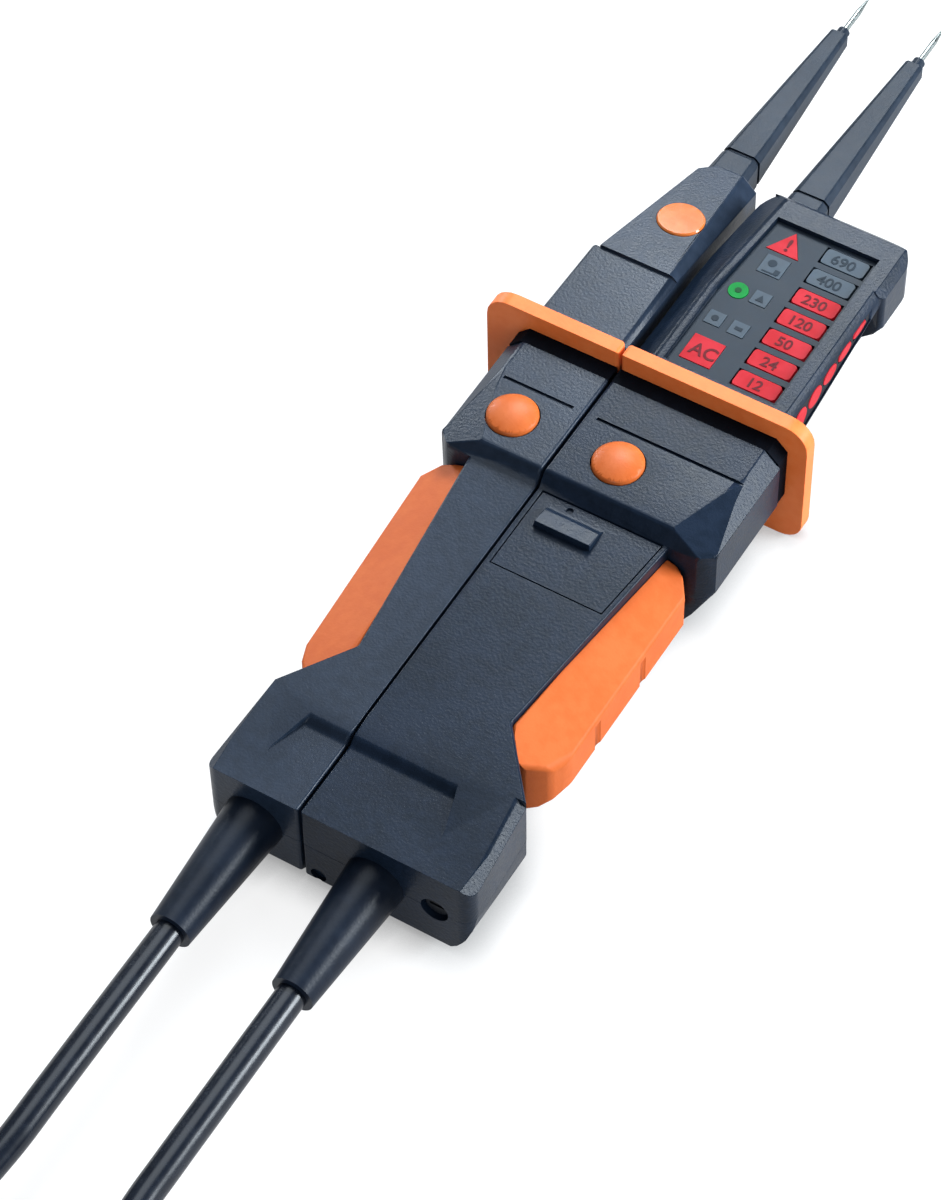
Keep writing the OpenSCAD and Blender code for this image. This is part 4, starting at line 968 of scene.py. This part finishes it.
screws = screw_tree()
for node, body in (("main_rear_screws", "display_unit"), ("probe_rear_screws", "probe_unit")):
    places = screw_places(node)
    low, high = span(node)
    made = made_by(
        screws, node.replace("rear", "cross_head"), places, Head=HEAD_R * MM, Shank=SHANK_R * MM,
        Slot=SLOT_W * MM, Length=(high.z - low.z - HEAD_SPACE) * MM, Finish=black_steel,
        **{"Head Depth": HEAD_DEPTH * MM},
    )
    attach(made, body)
    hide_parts(node)
    print(node, "has", len(places), "screws")

# %% [markdown]
# ## The studio
# A wide pale floor carries the tester. Dark plastic is mostly seen by what it mirrors, so each lamp has
# one set of faces to serve. The lamp beyond the tips makes the top faces shine more and more towards the
# tips. The two at the right light the narrow sloping edges, and the one at the left draws the bright
# line along the cord. A weak front light and a dim sky keep the other faces dark but readable. Many
# equal lamps would light every face alike and flatten the housing.
#
# The floor is white to the camera and darker close to the tester, where a shadow is painted into its
# glow, and its paper keeps the lamps' shadow.

# %% Floor
CONTACT_MM, BESIDE_MM = 8, 90
SHADE_SAMPLES = 6
# How strongly the floor glows from covered to open places, to the camera and to faces that mirror it.
# The occlusion paints a shadow into the glow: a narrow one for the camera, a wide one for shiny faces.
LENS_GLOW = {"low": 0.3, "high": 0.85, "start": 0.3, "end": 0.93}
GLOSS_GLOW = {"low": 0.05, "high": 0.6, "start": 0.1, "end": 0.4}


def white_floor():
    """A pale floor, white to the camera, with a shadow painted under the tester, that keeps the lamps'
    shadows.
    """
    made, tree = new_material("floor_paper")
    rays = add(tree, "ShaderNodeLightPath").outputs
    shiny = add(tree, "ShaderNodeMath", {
        0: rays["Is Glossy Ray"], 1: rays["Is Transmission Ray"],
    }, operation="MAXIMUM")
    seen = add(tree, "ShaderNodeMath", {
        0: rays["Is Camera Ray"], 1: shiny.outputs[0],
    }, operation="MAXIMUM")
    contact = add(tree, "ShaderNodeAmbientOcclusion", {"Distance": CONTACT_MM * MM}, samples=SHADE_SAMPLES)
    beside = add(tree, "ShaderNodeAmbientOcclusion", {"Distance": BESIDE_MM * MM}, samples=SHADE_SAMPLES)
    to_lens = spread(tree, contact.outputs["AO"], **LENS_GLOW)
    to_gloss = spread(tree, beside.outputs["AO"], **GLOSS_GLOW)
    glow = add(tree, "ShaderNodeMix", {0: rays["Is Camera Ray"], 2: to_gloss, 3: to_lens})
    paper = add(tree, "ShaderNodeBsdfDiffuse", {"Color": linear("#8c8c8c")})
    lit = add(tree, "ShaderNodeEmission", {"Color": linear("#ffffff"), "Strength": glow.outputs[0]})
    both = add(tree, "ShaderNodeAddShader", {0: paper.outputs[0], 1: lit.outputs[0]})
    dull = add(tree, "ShaderNodeBsdfDiffuse", {"Color": linear("#a0a0a0")})
    pick = add(tree, "ShaderNodeMixShader", {0: seen.outputs[0], 1: dull.outputs[0], 2: both.outputs[0]})
    finish_with(tree, pick)
    return made


FLOOR_HALF = 6.0
floor = mesh_object("floor", [
    (-FLOOR_HALF, -FLOOR_HALF, 0), (FLOOR_HALF, -FLOOR_HALF, 0),
    (FLOOR_HALF, FLOOR_HALF, 0), (-FLOOR_HALF, FLOOR_HALF, 0),
], [(0, 1, 2, 3)], smooth=False)
floor.data.materials.append(white_floor())

# %% Lights
COOL_WHITE = (0.87, 0.945, 1.0)
SKY_STRENGTH = 0.18


def soft_light(name, place, target, size, power):
    """A square area light, a little cool, that looks at a target: metres, and watts for its power."""
    data = bpy.data.lights.new(name, "AREA")
    data.color = COOL_WHITE
    data.energy = power
    data.size = size
    made = linked(name, data)
    made.location = place
    made.rotation_mode = "QUATERNION"
    made.rotation_quaternion = (Vector(target) - Vector(place)).to_track_quat("-Z", "Y")


soft_light("top_light", (-0.25, 0.35, 1.05), (0, 0, 0), size=0.8, power=5.6)
soft_light("front_light", (0.25, -1.0, 0.22), (0, 0, 0), size=0.5, power=3)
soft_light("side_light", (0.95, -0.3, 0.45), (0, 0, 0), size=0.5, power=0.8)
soft_light("far_light", (-0.19, 0.54, 0.54), (0, 0.12, 0), size=0.24, power=5.2)
soft_light("right_light", (0.58, 0.25, 0.25), (0, 0, 0.02), size=0.28, power=8)
soft_light("edge_light", (0.34, 0.36, 0.42), (0, 0, 0.02), size=0.12, power=0.4)
soft_light("left_light", (-0.55, 0.3, 0.2), (0, -0.05, 0.02), size=0.16, power=1.8)

world = bpy.data.worlds.new("studio")
scene.world = world
world.use_nodes = True
sky = world.node_tree
sky.nodes.clear()
fill = add(sky, "ShaderNodeBackground", {"Color": linear("#e0e8f4"), "Strength": SKY_STRENGTH})
add(sky, "ShaderNodeOutputWorld", {"Surface": fill.outputs[0]})
